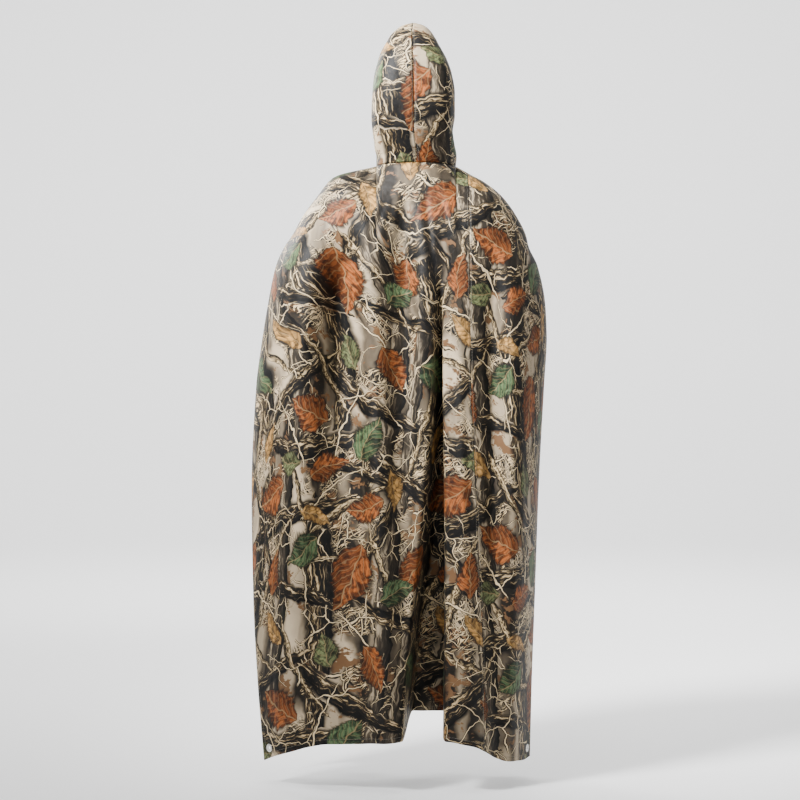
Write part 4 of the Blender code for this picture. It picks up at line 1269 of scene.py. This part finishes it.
# leaves: place, half-length, turn, width, number of teeth, and kind
Leaf = namedtuple("Leaf", "u v size turn width teeth kind")
RUST, GOLD, GREEN, MOSS = range(4)
TEETH_DEPTH = (0.22, 0.16, 0.14, 0.14)     # by kind
LEAVES = table(
    Leaf,
    (0.165, 0.615, 0.078, 204, 0.53, 9, RUST), (0.47, 0.425, 0.086, 252, 0.55, 9, RUST),
    (0.3, 0.11, 0.074, 158, 0.53, 9, RUST), (0.56, 0.215, 0.064, 304, 0.49, 9, RUST),
    (0.035, 0.44, 0.07, 236, 0.53, 9, RUST), (0.385, 0.69, 0.06, 18, 0.49, 9, RUST),
    (0.215, 0.435, 0.056, 84, 0.47, 9, RUST), (0.5, 0.59, 0.06, 196, 0.51, 9, RUST),
    (0.235, 0.3, 0.058, 138, 0.38, 7, GOLD), (0.585, 0.63, 0.054, 282, 0.4, 7, GOLD),
    (0.115, 0.035, 0.056, 64, 0.4, 7, GOLD), (0.36, 0.575, 0.05, 338, 0.36, 7, GOLD),
    (0.33, 0.49, 0.054, 214, 0.67, 12, GREEN), (0.085, 0.195, 0.062, 326, 0.65, 12, GREEN),
    (0.5, 0.045, 0.058, 58, 0.67, 12, GREEN), (0.425, 0.255, 0.046, 112, 0.62, 11, MOSS),
    (0.25, 0.7, 0.044, 174, 0.6, 11, MOSS), (0.61, 0.395, 0.048, 24, 0.64, 12, GREEN),
)
LEAF_BOW = 0.10             # how much a leaf's rib is bent
LEAF_ROUNDNESS = 1.05       # how fast a leaf narrows towards both ends
LEAF_TAPER = -0.38          # and how much faster towards its tip
KIND_STEP = 4.0             # a leaf's places along are shifted by this for each kind before it
SEED_STEP = 1.37            # a limb's places along are shifted by this for each limb before it
NOWHERE = (0.0, 0.0, 9.0)


def in_motif(given):
    """Return a place's distance along and across a motif, in the nearest repeat of the print."""
    off = vector("SUBTRACT", given["Place"], given["Middle"])
    half = (REPEAT_U / 2, REPEAT_V / 2, 1.0)
    off = vector("WRAP", off, half, scaled(half, -1))
    return [vector("DOT_PRODUCT", off, given[way]) for way in ("Along", "Across")]


def draw_limb(given):
    """A tapered, bowed limb."""
    x, y = in_motif(given)
    middle_width, taper, bow = split(given["Shape"])
    square = x * x
    bowed = square.line(bow, y)
    cap = calc("SUBTRACT", 1.0, square * square, clamp=True)
    across = bowed / (x.line(taper, middle_width) * cap).most(1e-7)
    return x.line(given["Half length"], given["Seed"]), bowed, across


def draw_leaf(given):
    """A leaf with teeth on its edge."""
    x, y = in_motif(given)
    width, teeth, depth = split(given["Shape"])
    square = x * x
    y = square.line(LEAF_BOW, y)
    width = (1.0 - square).most(0.0).power(LEAF_ROUNDNESS) * width * x.line(LEAF_TAPER, 1.0)
    width = width * (x * teeth).fract().line(depth, 1.0)
    return x + given["Seed"], y, y / width.most(1e-6)


def motif_group(name, draw):
    """Return the group that gives where a place lies in a motif.

    That is its distance along the motif and across it, and the second one as a share of the motif's
    half-width.
    """
    found = bpy.data.node_groups.get(name)
    if found:
        return found
    tree = bpy.data.node_groups.new(name, "ShaderNodeTree")
    vectors = ("Place", "Middle", "Along", "Across", "Shape")
    numbers = ("Half length", "Seed")
    for label in (*vectors, *numbers):
        kind = "NodeSocketVector" if label in vectors else "NodeSocketFloat"
        tree.interface.new_socket(label, in_out="INPUT", socket_type=kind)
    tree.interface.new_socket("Where", in_out="OUTPUT", socket_type="NodeSocketVector")
    tree.interface.new_socket("Across", in_out="OUTPUT", socket_type="NodeSocketFloat")
    given = tree.nodes.new("NodeGroupInput").outputs
    wanted = tree.nodes.new("NodeGroupOutput").inputs
    parts = draw({label: Field(given[label]) for label in (*vectors, *numbers)})
    connect(join(*parts), wanted["Where"])
    connect(abs(parts[-1]), wanted["Across"])
    return tree


def motif(place, group, spot, long, wide, shape, half, seed):
    """Add one motif of the print, turned and placed, and return where the place lies in it."""
    turn = math.radians(spot.turn)
    made = put(place.socket.id_data, "ShaderNodeGroup", {}, node_tree=group)
    inputs = {
        "Place": place,
        "Middle": (spot.u, spot.v, 0.0),
        "Along": (math.cos(turn) / long, math.sin(turn) / long, 0.0),
        "Across": (-math.sin(turn) / wide, math.cos(turn) / wide, 0.0),
        "Shape": shape,
        "Half length": half,
        "Seed": seed,
    }
    for label, value in inputs.items():
        connect(value, made.inputs[label])
    return Field(made.outputs["Where"]), Field(made.outputs["Across"])


def limbs(place, rows, reach):
    """Lay limbs over each other and return where each place lies in the top one."""
    where = NOWHERE
    group = motif_group("limb", draw_limb)
    for number, limb in enumerate(rows, 1):
        half = limb.length / 2
        shape = ((limb.start + limb.end) / 2, (limb.end - limb.start) / 2, limb.bow)
        here, across = motif(place, group, limb, half, 1.0, shape, half, number * SEED_STEP)
        where = over(across < reach, where, here)
    return where


def leaves(place):
    """Lay the leaves over each other and return where each place lies in the top one, and their shade."""
    where, shade = NOWHERE, 0.0
    group = motif_group("leaf", draw_leaf)
    for leaf in LEAVES:
        shape = (leaf.width, -leaf.teeth / 2, TEETH_DEPTH[leaf.kind])
        seed = leaf.kind * KIND_STEP
        here, across = motif(place, group, leaf, leaf.size, leaf.size, shape, None, seed)
        where = over(across < 1.0, where, here)
        shade = (LEAF_SHADE_REACH - across).most(shade)
    return where, rise(shade, 0.0, LEAF_SHADE_REACH - 1.0)


# patches of the print: how fine they are across and down (0 where that is the same), their turn, detail
# and roughness, and between which values they begin
Patch = namedtuple("Patch", "across down turn detail rough low high")
FAR_WOOD = Patch(12.0, 1.8, 0.0, 2.0, 0.5, 0.43, 0.62)
GLOW = Patch(5.0, 0, 0.0, 2.0, 0.5, 0.54, 0.66)
LITTER = Patch(9.0, 14.0, 0.3, 4.0, 0.75, 0.55, 0.60)
DARK_NEEDLES = Patch(30.0, 240.0, 0.9, 3.0, 0.6, 0.46, 0.50)
PALE_NEEDLES = Patch(38.0, 280.0, -0.5, 3.0, 0.6, 0.56, 0.60)
NEEDLE_BEDS = Patch(8.0, 0, 0.0, 2.0, 0.6, 0.48, 0.55)
WOOD_MIDDLE = 0.50          # where the far wood has its dim tone
WOOD_DARK = 0.10            # its darkest tone, as a share of the dim one
GLOW_GAIN = 1.5             # the brightest ground over the pale one

# nets of twigs: their cells across and down, their turn, the two widths of a twig, and their patches
Net = namedtuple("Net", "across down turn dark_width pale_width patches")
FAR_NET = Net(16.0, 25.0, 0.5, 0.050, 0.019, Patch(8.0, 0, 0.0, 2.0, 0.6, 0.50, 0.54))
NEAR_NET = Net(13.0, 18.0, -0.35, 0.038, 0.015, Patch(6.0, 0, 0.0, 2.0, 0.6, 0.50, 0.54))

# bark: its grooves across and along, where its three tones begin, and the shade beside the limb
Bark = namedtuple("Bark", "lanes ways groove body crest shade")
FAR_BARK = Bark(120.0, 18.0, 0.44, 0.56, 0.68, 0.5)
NEAR_BARK = Bark(230.0, 30.0, 0.53, 0.61, 0.70, 0.9)
THIN_BARK = Bark(380.0, 110.0, 0.37, 0.48, 0.61, 0.85)
FAR_DARK = 0.35             # the darkest tone of a far trunk, as a share of the dim ground
THIN_DARK = 0.2             # and of a thin limb, as a share of its tan
SHADE_REACH = 1.45          # the shade reaches this far out, in half-widths of the limb
STREAKS = (1.0, 3.0, 0.62)  # size, detail and roughness of the bark's streaks
STREAK_BASE = 0.07          # taken off the streaks
PLATE_CELLS = 0.45          # the plates' cells in the grooves' lanes
PLATE_EDGE = 0.35           # a plate is full this far inside its edge
PLATE_LIFT = 0.45           # how much lighter a plate is than its edge
BARK_LEAN = 0.08            # the crests gather on the lit side
BARK_RIM = (0.72, 0.97)     # between these half-widths the bark darkens
RIM_LIGHT = (0.88, 0.12)    # light of the middle over the rim's, and the rim's
BARK_LIGHT = (0.62, 0.58)   # how fast the light rises across a limb, and its value in the middle

TWIG_EDGE = 1.9             # a twig's dark edge reaches this far, in half-widths
WAVER = (24.0, 2.0, 0.5, 0.024)     # the print's lines waver: size, detail, roughness and reach
SWAY = (11.0, 1.0, 0.5, 0.060)      # and the nets sway besides

LEAF_SHADE_REACH = 1.30     # a leaf's shade reaches this far out, in half-widths
LEAF_SHADE = 0.85
VEIN_SLANT = -1.1           # side veins run forward from the rib
VEIN_COUNT = 3.6            # in half a leaf's length
VEIN_WIDTH = (0.02, 0.10)
VEIN_SHARE = 0.50           # side veins beside the rib
RIB_WIDTH = (0.008, 0.030)
LINE_SHARE = 0.60           # all veins over the leaf's colour
BLOTCHES = (3.4, 4.0, 0.62)     # size, detail and roughness
BLOTCH_EDGE = (0.38, 0.64)
BLOTCH_LIGHT = (1.15, 0.30)     # how much lighter than the darkest tone, and the darkest tone
PLEAT_LIGHT = (0.75, 0.55)
LEAF_RIM = (0.80, 1.0)
LEAF_RIM_LIGHT = (-0.70, 1.0)
HALF_EDGE = 0.05            # one half of a leaf is lit, from this far off the rib
HALF_LIGHT = (0.50, 0.72)


def grain(place, patch):
    """Return the noise of a patch."""
    scale = patch.across
    if patch.down:
        place, scale = stretch(place, (patch.across, patch.down, 1.0), patch.turn), 1.0
    return noise(place, scale, patch.detail, patch.rough)


def patches(place, patch):
    return rise(grain(place, patch), patch.low, patch.high)


def ground_colour(place, settings):
    """Paint the far wood: grey ground, blurred trunks, shade and litter."""
    pale, dim = settings.ground_pale, settings.ground_dim
    wood = [(FAR_WOOD.low, scaled(dim, WOOD_DARK)), (WOOD_MIDDLE, dim), (FAR_WOOD.high, pale)]
    colour = ramp(grain(place, FAR_WOOD), wood)
    colour = paint(colour, patches(place, GLOW), scaled(pale, GLOW_GAIN))
    colour = paint(colour, patches(place, LITTER), settings.leaf_litter)
    beds = patches(place, NEEDLE_BEDS)
    colour = paint(colour, patches(place, DARK_NEEDLES) * beds, settings.bark_dark)
    return paint(colour, patches(place, PALE_NEEDLES) * beds, settings.bark_light)


def bark_colour(where, bark, tones):
    """Paint bark in plates and grooves that run along a limb, lit from one side."""
    along, across, share = split(where)
    lanes = join(along * bark.ways, across * bark.lanes)
    streaks = noise(lanes, *STREAKS) - STREAK_BASE
    plates = cracks(lanes, PLATE_CELLS).least(PLATE_EDGE)
    value = share.line(BARK_LEAN, plates.line(PLATE_LIFT, streaks))
    colour = ramp(value, list(zip((bark.groove, bark.body, bark.crest), tones)))
    light = calc("MULTIPLY_ADD", share, *BARK_LIGHT, clamp=True)
    return shaded(colour, light * fall(abs(share), *BARK_RIM).line(*RIM_LIGHT))


def lay_limbs(place, rows, colour, bark, tones):
    """Paint a layer of limbs over a colour, each with a soft dark band beside it."""
    where = limbs(place, rows, SHADE_REACH)
    off = abs(split(where)[2])
    colour = paint(colour, rise(off, SHADE_REACH, 1.0) * bark.shade, tones[0])
    return paint(colour, off < 1.0, bark_colour(where, bark, tones))


def lay_net(place, net, colour, settings):
    """Paint patches of crossing twigs over a colour, pale between dark edges."""
    off = cracks(stretch(place, (net.across, net.down, 1.0), net.turn), 1.0)
    there = patches(place, net.patches)
    colour = paint(colour, (off < net.dark_width) * there, settings.bark_dark)
    return paint(colour, (off < net.pale_width) * there, settings.twig)


def leaf_colour(where, settings):
    """Paint the leaves with a rib, side veins, blotches and darker rims."""
    code, across, share = split(where)
    kind = (code / KIND_STEP).round()
    along = kind.line(-KIND_STEP, code)
    kinds = (settings.leaf_rust, settings.leaf_gold, settings.leaf_green, settings.leaf_moss)
    stops = [(i / len(kinds), rgb) for i, rgb in enumerate(kinds)]
    colour = ramp(kind.line(1 / len(kinds), 0.5 / len(kinds)), stops, steps=True)
    off_rib = abs(across)
    phase = (off_rib.line(VEIN_SLANT, along) * VEIN_COUNT).fract()
    veins = fall(abs(phase - 0.5), *VEIN_WIDTH) * VEIN_SHARE
    lines = veins.most(fall(off_rib, *RIB_WIDTH))
    tone = rise(noise(where, *BLOTCHES), *BLOTCH_EDGE).line(*BLOTCH_LIGHT) * phase.line(*PLEAT_LIGHT)
    tone = tone * rise(abs(share), *LEAF_RIM).line(*LEAF_RIM_LIGHT)
    tone = tone * rise(share, -HALF_EDGE, HALF_EDGE).line(*HALF_LIGHT)
    return paint(shaded(colour, tone), lines * LINE_SHARE, settings.vein)


def wavering(place, scale, detail, rough, reach):
    """Return places that are shifted to and fro."""
    off = vector("SUBTRACT", noise(place, scale, detail, rough, "Color"), (0.5, 0.5, 0.5))
    return vector("MULTIPLY_ADD", off, (reach, reach, 0.0), place)


def print_colour(place, settings):
    """Paint the whole print, from the far wood to the leaves in front."""
    place = wavering(place, *WAVER)
    swaying = wavering(place, *SWAY)
    dark, tan, light = settings.bark_dark, settings.limb_tan, settings.bark_light
    dim, pale = settings.ground_dim, settings.ground_pale
    colour = ground_colour(place, settings)
    colour = lay_limbs(place, FAR_LIMBS, colour, FAR_BARK, (scaled(dim, FAR_DARK), dim, pale))
    colour = lay_net(swaying, FAR_NET, colour, settings)
    colour = lay_limbs(place, DARK_LIMBS, colour, NEAR_BARK, (dark, tan, light))
    colour = lay_limbs(place, PALE_LIMBS, colour, THIN_BARK, (scaled(tan, THIN_DARK), tan, light))
    colour = lay_net(swaying, NEAR_NET, colour, settings)

    off = abs(split(limbs(place, TWIGS, TWIG_EDGE))[2])
    colour = paint(colour, off < TWIG_EDGE, dark)
    colour = paint(colour, off < 1.0, settings.twig)

    where, shade = leaves(place)
    inside = abs(split(where)[2]) < 1.0
    colour = paint(colour, shade * LEAF_SHADE, dark)
    return paint(colour, inside, leaf_colour(where, settings))


# the cloth's relief, in metres
CRUMPLE = (16.0, 3.0, 0.55)     # size, detail and roughness
CRUMPLE_HEIGHT = 0.0030
RIPPLE = (70.0, 2.0, 0.5)
RIPPLE_HEIGHT = 0.0006
WEAVE = (1400.0, 1.0, 0.5)
WEAVE_HEIGHT = 0.00005
PUCKER = (150.0, 1.0, 0.5)
PUCKER_HEIGHT = 0.0012
PUCKER_REACH = (0.006, 0.022)
TURNED_HEIGHT = 0.0005      # the hem is thicker than the cloth
TURNED_EDGE = 0.001
GROOVE_DEPTH = -0.0007      # along the hem's stitches
GROOVE_WIDTH = 0.0022
PULL_DEPTH = -0.0008        # at the seams
PULL_WIDTH = 0.004


def attribute(tree, name):
    return Field(put(tree, "ShaderNodeAttribute", {}, attribute_name=name).outputs["Fac"])


def cloth_relief(place, settings):
    """Return the normal of the cloth: soft crumple, weave, turned hem and pulled-in seams."""
    tree = place.socket.id_data
    edge = attribute(tree, "edge_distance")
    seam = attribute(tree, "seam_distance")
    hem = settings.hem_width
    parts = (
        (noise(place, *CRUMPLE), CRUMPLE_HEIGHT),
        (noise(place, *RIPPLE), RIPPLE_HEIGHT),
        (noise(place, *WEAVE), WEAVE_HEIGHT),
        (fall(edge, hem - TURNED_EDGE, hem + TURNED_EDGE), TURNED_HEIGHT),
        (fall(abs(edge - hem * STITCH_PLACE), 0.0, GROOVE_WIDTH), GROOVE_DEPTH),
        (fall(seam, 0.0, PULL_WIDTH), PULL_DEPTH),
        (noise(place, *PUCKER) * fall(seam.least(edge), *PUCKER_REACH), PUCKER_HEIGHT),
    )
    height = 0.0
    for part, most in parts:
        height = part.line(most, height)
    inputs = {"Strength": 1.0, "Distance": 1.0, "Height": height}
    return result("ShaderNodeBump", inputs, "Normal")


def material(name, finish):
    """Return a material, made once, with the shader inputs that a function gives for its tree."""
    found = bpy.data.materials.get(name)
    if found:
        return found
    made = bpy.data.materials.new(name)
    made.use_nodes = True
    shader = made.node_tree.nodes["Principled BSDF"]
    for label, value in finish(made.node_tree).items():
        connect(value, shader.inputs[label])
    return made


def print_place(tree):
    return Field(put(tree, "ShaderNodeUVMap", {}, uv_map="print").outputs["UV"])


def object_place(tree):
    return Field(put(tree, "ShaderNodeTexCoord", {}).outputs["Object"])


# plain finishes are mottled with a darker tone: its size, detail and roughness, how dark it is, and where
# the mottling begins and ends
Mottle = namedtuple("Mottle", "size detail rough darkest low high")
REVERSE_MOTTLE = Mottle(30.0, 3.0, 0.6, 0.8, 0.35, 0.65)
THREAD_MOTTLE = Mottle(900.0, 2.0, 0.6, 0.6, 0.35, 0.65)
METAL_MOTTLE = Mottle(220.0, 3.0, 0.6, 0.75, 0.35, 0.6)
METAL_ROUGHNESS = (0.25, 0.18)      # of its palest places over its darkest ones, and of those


def mottled(place, mottle, rgb):
    """Return a colour that is mottled with a darker tone of itself, and the mottling."""
    tone = noise(place, mottle.size, mottle.detail, mottle.rough)
    return ramp(tone, [(mottle.low, scaled(rgb, mottle.darkest)), (mottle.high, rgb)]), tone


def woodland_print(settings):
    """The printed face of the coated cloth."""
    def finish(tree):
        place = print_place(tree)
        return {
            "Base Color": print_colour(place, settings),
            "Normal": cloth_relief(place, settings),
            "Roughness": 0.58,
            "Specular IOR Level": 0.16,
            "Sheen Weight": 0.01,
            "Sheen Roughness": 0.5,
        }

    return material("woodland_print", finish)


def plain_reverse(settings):
    """The unprinted, coated reverse of the cloth."""
    def finish(tree):
        place = print_place(tree)
        return {
            "Base Color": mottled(place, REVERSE_MOTTLE, settings.reverse)[0],
            "Normal": cloth_relief(place, settings),
            "Roughness": 0.48,
            "Specular IOR Level": 0.4,
        }

    return material("plain_reverse", finish)


def thread(settings):
    """The sewing thread."""
    def finish(tree):
        colour = mottled(object_place(tree), THREAD_MOTTLE, settings.thread_colour)[0]
        return {"Base Color": colour, "Roughness": 0.6, "Sheen Weight": 0.2}

    return material("sewing_thread", finish)


def eyelet_metal(settings):
    """The pale pressed metal of the eyelets, slightly brushed and dulled."""
    def finish(tree):
        colour, dull = mottled(object_place(tree), METAL_MOTTLE, settings.metal_colour)
        return {"Base Color": colour, "Roughness": dull.line(*METAL_ROUGHNESS), "Metallic": 1.0}

    return material("pressed_metal", finish)


def pale_floor(settings):
    """The floor's own pale light."""
    def finish(_):
        colour = (*settings.floor_colour, 1.0)
        return {
            "Base Color": colour,
            "Roughness": 0.9,
            "Emission Color": colour,
            "Emission Strength": settings.floor_glow,
        }

    return material("pale_floor", finish)


# ---------------------------------------------------------------- stage
CAMERA_X = 0.037
CAMERA_Z = -0.571
CAMERA_DISTANCE = 4.6
SENSOR_WIDTH = 36.0
FRAME_WIDTH = 1.96          # what the picture spans at the shoulder line
FAR_CLIP = 60.0
FLOOR_Z = -1.500
FLOOR_REACH = 9.0           # the wall stands this far out, and is as high
FLOOR_BEND = 1.2            # the floor curves up into it
BEND_STEPS = 8
FLOOR_SIDES = 96
Light = namedtuple("Light", "name place aim size spread power")
LIGHTS = table(
    Light,
    ("key", (1.9, 1.8, 1.8), (0.05, 0.0, 0.2), 0.9, 50.0, 62.0),
    ("fill", (-2.4, 4.2, 0.8), (0.0, 0.0, 0.0), 2.0, 90.0, 6.0),
    ("top", (0.2, 0.7, 1.7), (0.0, 0.0, 0.0), 1.0, 100.0, 7.0),
    ("front", (2.3, -2.8, 1.3), (0.0, 0.0, -0.3), 1.4, 90.0, 36.0),
    ("backdrop", (0.0, -3.4, 3.0), (0.0, -7.0, -1.0), 3.0, 180.0, 520.0),
)


def make_floor(settings):
    """Make the pale floor, which curves up far out into a wall all round."""
    outline = [(0, FLOOR_Z)]
    for i in range(BEND_STEPS + 1):
        turn = math.pi / 2 * i / BEND_STEPS
        distance = FLOOR_REACH - FLOOR_BEND + FLOOR_BEND * math.sin(turn)
        outline.append((distance, FLOOR_Z + FLOOR_BEND - FLOOR_BEND * math.cos(turn)))
    outline.append((FLOOR_REACH, FLOOR_Z + FLOOR_REACH))
    mesh = turned_mesh("studio_floor", outline, False, FLOOR_SIDES)
    mesh.materials.append(pale_floor(settings))
    floor = bpy.data.objects.new("studio_floor", mesh)
    new_collection("studio").objects.link(floor)


def set_up(name, data, place, target):
    """Put a lamp or a camera in its place in the studio, aimed at a target."""
    made = bpy.data.objects.new(name, data)
    made.location = place
    made.rotation_euler = (Vector(target) - made.location).to_track_quat("-Z", "Y").to_euler()
    new_collection("studio").objects.link(made)
    return made


def make_lights(settings):
    """Make the lamps and the light from all round."""
    for light in LIGHTS:
        data = bpy.data.lights.new(light.name, "AREA")
        data.shape = "DISK"
        data.size = light.size
        data.energy = light.power * (settings.key_power if light.name == "key" else 1.0)
        data.spread = math.radians(light.spread)
        set_up(light.name, data, light.place, light.aim)
    world = bpy.data.worlds.new("studio_air")
    world.use_nodes = True
    sky = world.node_tree.nodes["Background"]
    sky.inputs["Color"].default_value = (1.0, 1.0, 1.0, 1.0)
    sky.inputs["Strength"].default_value = settings.world_light
    bpy.context.scene.world = world


def make_camera():
    """Make the camera, which looks straight at the back."""
    data = bpy.data.cameras.new("camera")
    data.sensor_width = SENSOR_WIDTH
    data.lens = SENSOR_WIDTH * CAMERA_DISTANCE / FRAME_WIDTH
    data.clip_end = FAR_CLIP
    place = (CAMERA_X, CAMERA_DISTANCE, CAMERA_Z)
    bpy.context.scene.camera = set_up("camera", data, place, (CAMERA_X, 0.0, CAMERA_Z))


# ---------------------------------------------------------------- add-on
def number_prop(name, description, default, **more):
    return FloatProperty(name=name, description=description, default=default, min=0.0, **more)


def length_prop(name, description, default):
    return number_prop(name, description, default, subtype="DISTANCE", unit="LENGTH", precision=4)


def colour_prop(name, description, default):
    return FloatVectorProperty(
        name=name, description=description, default=default, size=3, min=0.0, max=1.0, subtype="COLOR"
    )


class PonchoCloth(bpy.types.PropertyGroup):
    cloth_thickness: length_prop("Cloth thickness", "Thickness of the coated cloth", 0.0007)
    hem_width: length_prop("Hem width", "Width of the turned hem", 0.014)
    stitch_pitch: length_prop("Stitch pitch", "Distance between stitches", 0.0038)
    stitch_length: length_prop("Stitch length", "Visible length of a stitch", 0.0029)
    thread_width: length_prop("Thread width", "Thickness of the thread", 0.0007)
    seam_inset: length_prop("Seam inset", "Distance of the top stitching from a seam", 0.004)
    crease_depth: number_prop("Crease depth", "Strength of the creases", 1.0)
    ground_pale: colour_prop("Pale ground", "Lightest ground of the print", (0.285, 0.225, 0.148))
    ground_dim: colour_prop("Dim ground", "Taupe ground of the print", (0.072, 0.055, 0.036))
    bark_dark: colour_prop("Dark bark", "Grooves and outlines", (0.006, 0.005, 0.004))
    bark_light: colour_prop("Light bark", "Highlights of the bark", (0.54, 0.40, 0.215))
    limb_tan: colour_prop("Tan limb", "Body colour of the limbs", (0.085, 0.056, 0.026))
    twig: colour_prop("Twig", "Pale twigs", (0.50, 0.39, 0.230))
    leaf_litter: colour_prop("Fallen leaves", "Brown litter on the ground", (0.110, 0.056, 0.024))
    leaf_rust: colour_prop("Rust leaf", "Autumn leaves", (0.135, 0.038, 0.009))
    leaf_gold: colour_prop("Golden leaf", "Dry leaves", (0.220, 0.118, 0.034))
    leaf_green: colour_prop("Green leaf", "Green leaves", (0.036, 0.058, 0.025))
    leaf_moss: colour_prop("Moss leaf", "Grey-green leaves", (0.060, 0.070, 0.029))
    vein: colour_prop("Vein", "Veins of the leaves", (0.24, 0.16, 0.075))
    reverse: colour_prop("Reverse", "Coated reverse of the cloth", (0.115, 0.110, 0.095))
    thread_colour: colour_prop("Thread", "Sewing thread", (0.16, 0.145, 0.11))


class PonchoMetal(bpy.types.PropertyGroup):
    metal_colour: colour_prop("Metal", "Pressed metal of the eyelets", (0.74, 0.72, 0.68))
    eyelet_sides: IntProperty(
        name="Eyelet sides", description="Sides of a turned eyelet", default=40, min=8
    )


class PonchoStudio(bpy.types.PropertyGroup):
    floor_colour: colour_prop("Floor", "Pale floor and wall", (0.90, 0.90, 0.90))
    floor_glow: number_prop("Floor glow", "Own light of the floor", 0.27)
    key_power: number_prop("Key", "Power of the key light, as a share of its own", 1.0)
    world_light: number_prop("World", "Light from all round", 0.12)


class PONCHO_OT_back(bpy.types.Operator):
    """Make the back panels with their deep fold, hems and stitches."""

    bl_idname = "poncho.back"
    bl_label = "Back Panels"

    def execute(self, context):
        make_panels(BACK, "back", context.scene.poncho_cloth)
        return {"FINISHED"}


class PONCHO_OT_front(bpy.types.Operator):
    """Make the front panels with their hems and stitches."""

    bl_idname = "poncho.front"
    bl_label = "Front Panels"

    def execute(self, context):
        make_panels(FRONT, "front", context.scene.poncho_cloth)
        return {"FINISHED"}


class PONCHO_OT_hood(bpy.types.Operator):
    """Make the two halves of the hood."""

    bl_idname = "poncho.hood"
    bl_label = "Hood"

    def execute(self, context):
        make_hood_half(1, "hood_left", context.scene.poncho_cloth)
        make_hood_half(-1, "hood_right", context.scene.poncho_cloth)
        return {"FINISHED"}


class PONCHO_OT_eyelets(bpy.types.Operator):
    """Make the pressed eyelets in the four lower corners."""

    bl_idname = "poncho.eyelets"
    bl_label = "Eyelets"

    def execute(self, context):
        for face in ("back", "front"):
            for side in ("left", "right"):
                make_eyelet("eyelet_" + face + "_" + side, context.scene.poncho_metal)
        return {"FINISHED"}


class PONCHO_OT_stage(bpy.types.Operator):
    """Make the floor, the lights and the camera."""

    bl_idname = "poncho.stage"
    bl_label = "Studio"

    def execute(self, context):
        make_floor(context.scene.poncho_studio)
        make_lights(context.scene.poncho_studio)
        make_camera()
        return {"FINISHED"}


class PONCHO_PT_panel(bpy.types.Panel):
    """Lists the poncho's settings and the steps that build it."""

    bl_label = "Rain Poncho"
    bl_idname = "PONCHO_PT_panel"
    bl_space_type = "VIEW_3D"
    bl_region_type = "UI"
    bl_category = "Poncho"

    def draw(self, context):
        layout = self.layout
        for group in GROUPS:
            settings = getattr(context.scene, group)
            box = layout.box()
            for name in settings.__annotations__:
                box.prop(settings, name)
        for step in STEPS:
            layout.operator(step.bl_idname)


GROUPS = {"poncho_cloth": PonchoCloth, "poncho_metal": PonchoMetal, "poncho_studio": PonchoStudio}
STEPS = (PONCHO_OT_back, PONCHO_OT_front, PONCHO_OT_hood, PONCHO_OT_eyelets, PONCHO_OT_stage)
CLASSES = (*GROUPS.values(), *STEPS, PONCHO_PT_panel)


def register():
    for cls in CLASSES:
        bpy.utils.register_class(cls)
    for name, cls in GROUPS.items():
        setattr(bpy.types.Scene, name, PointerProperty(type=cls))


def unregister():
    for name in GROUPS:
        delattr(bpy.types.Scene, name)
    for cls in reversed(CLASSES):
        bpy.utils.unregister_class(cls)


def main():
    register()
    bpy.ops.poncho.back()
    bpy.ops.poncho.front()
    bpy.ops.poncho.hood()
    bpy.ops.poncho.eyelets()
    bpy.ops.poncho.stage()
    bpy.context.view_layer.update()


if __name__ == "__main__":
    main()
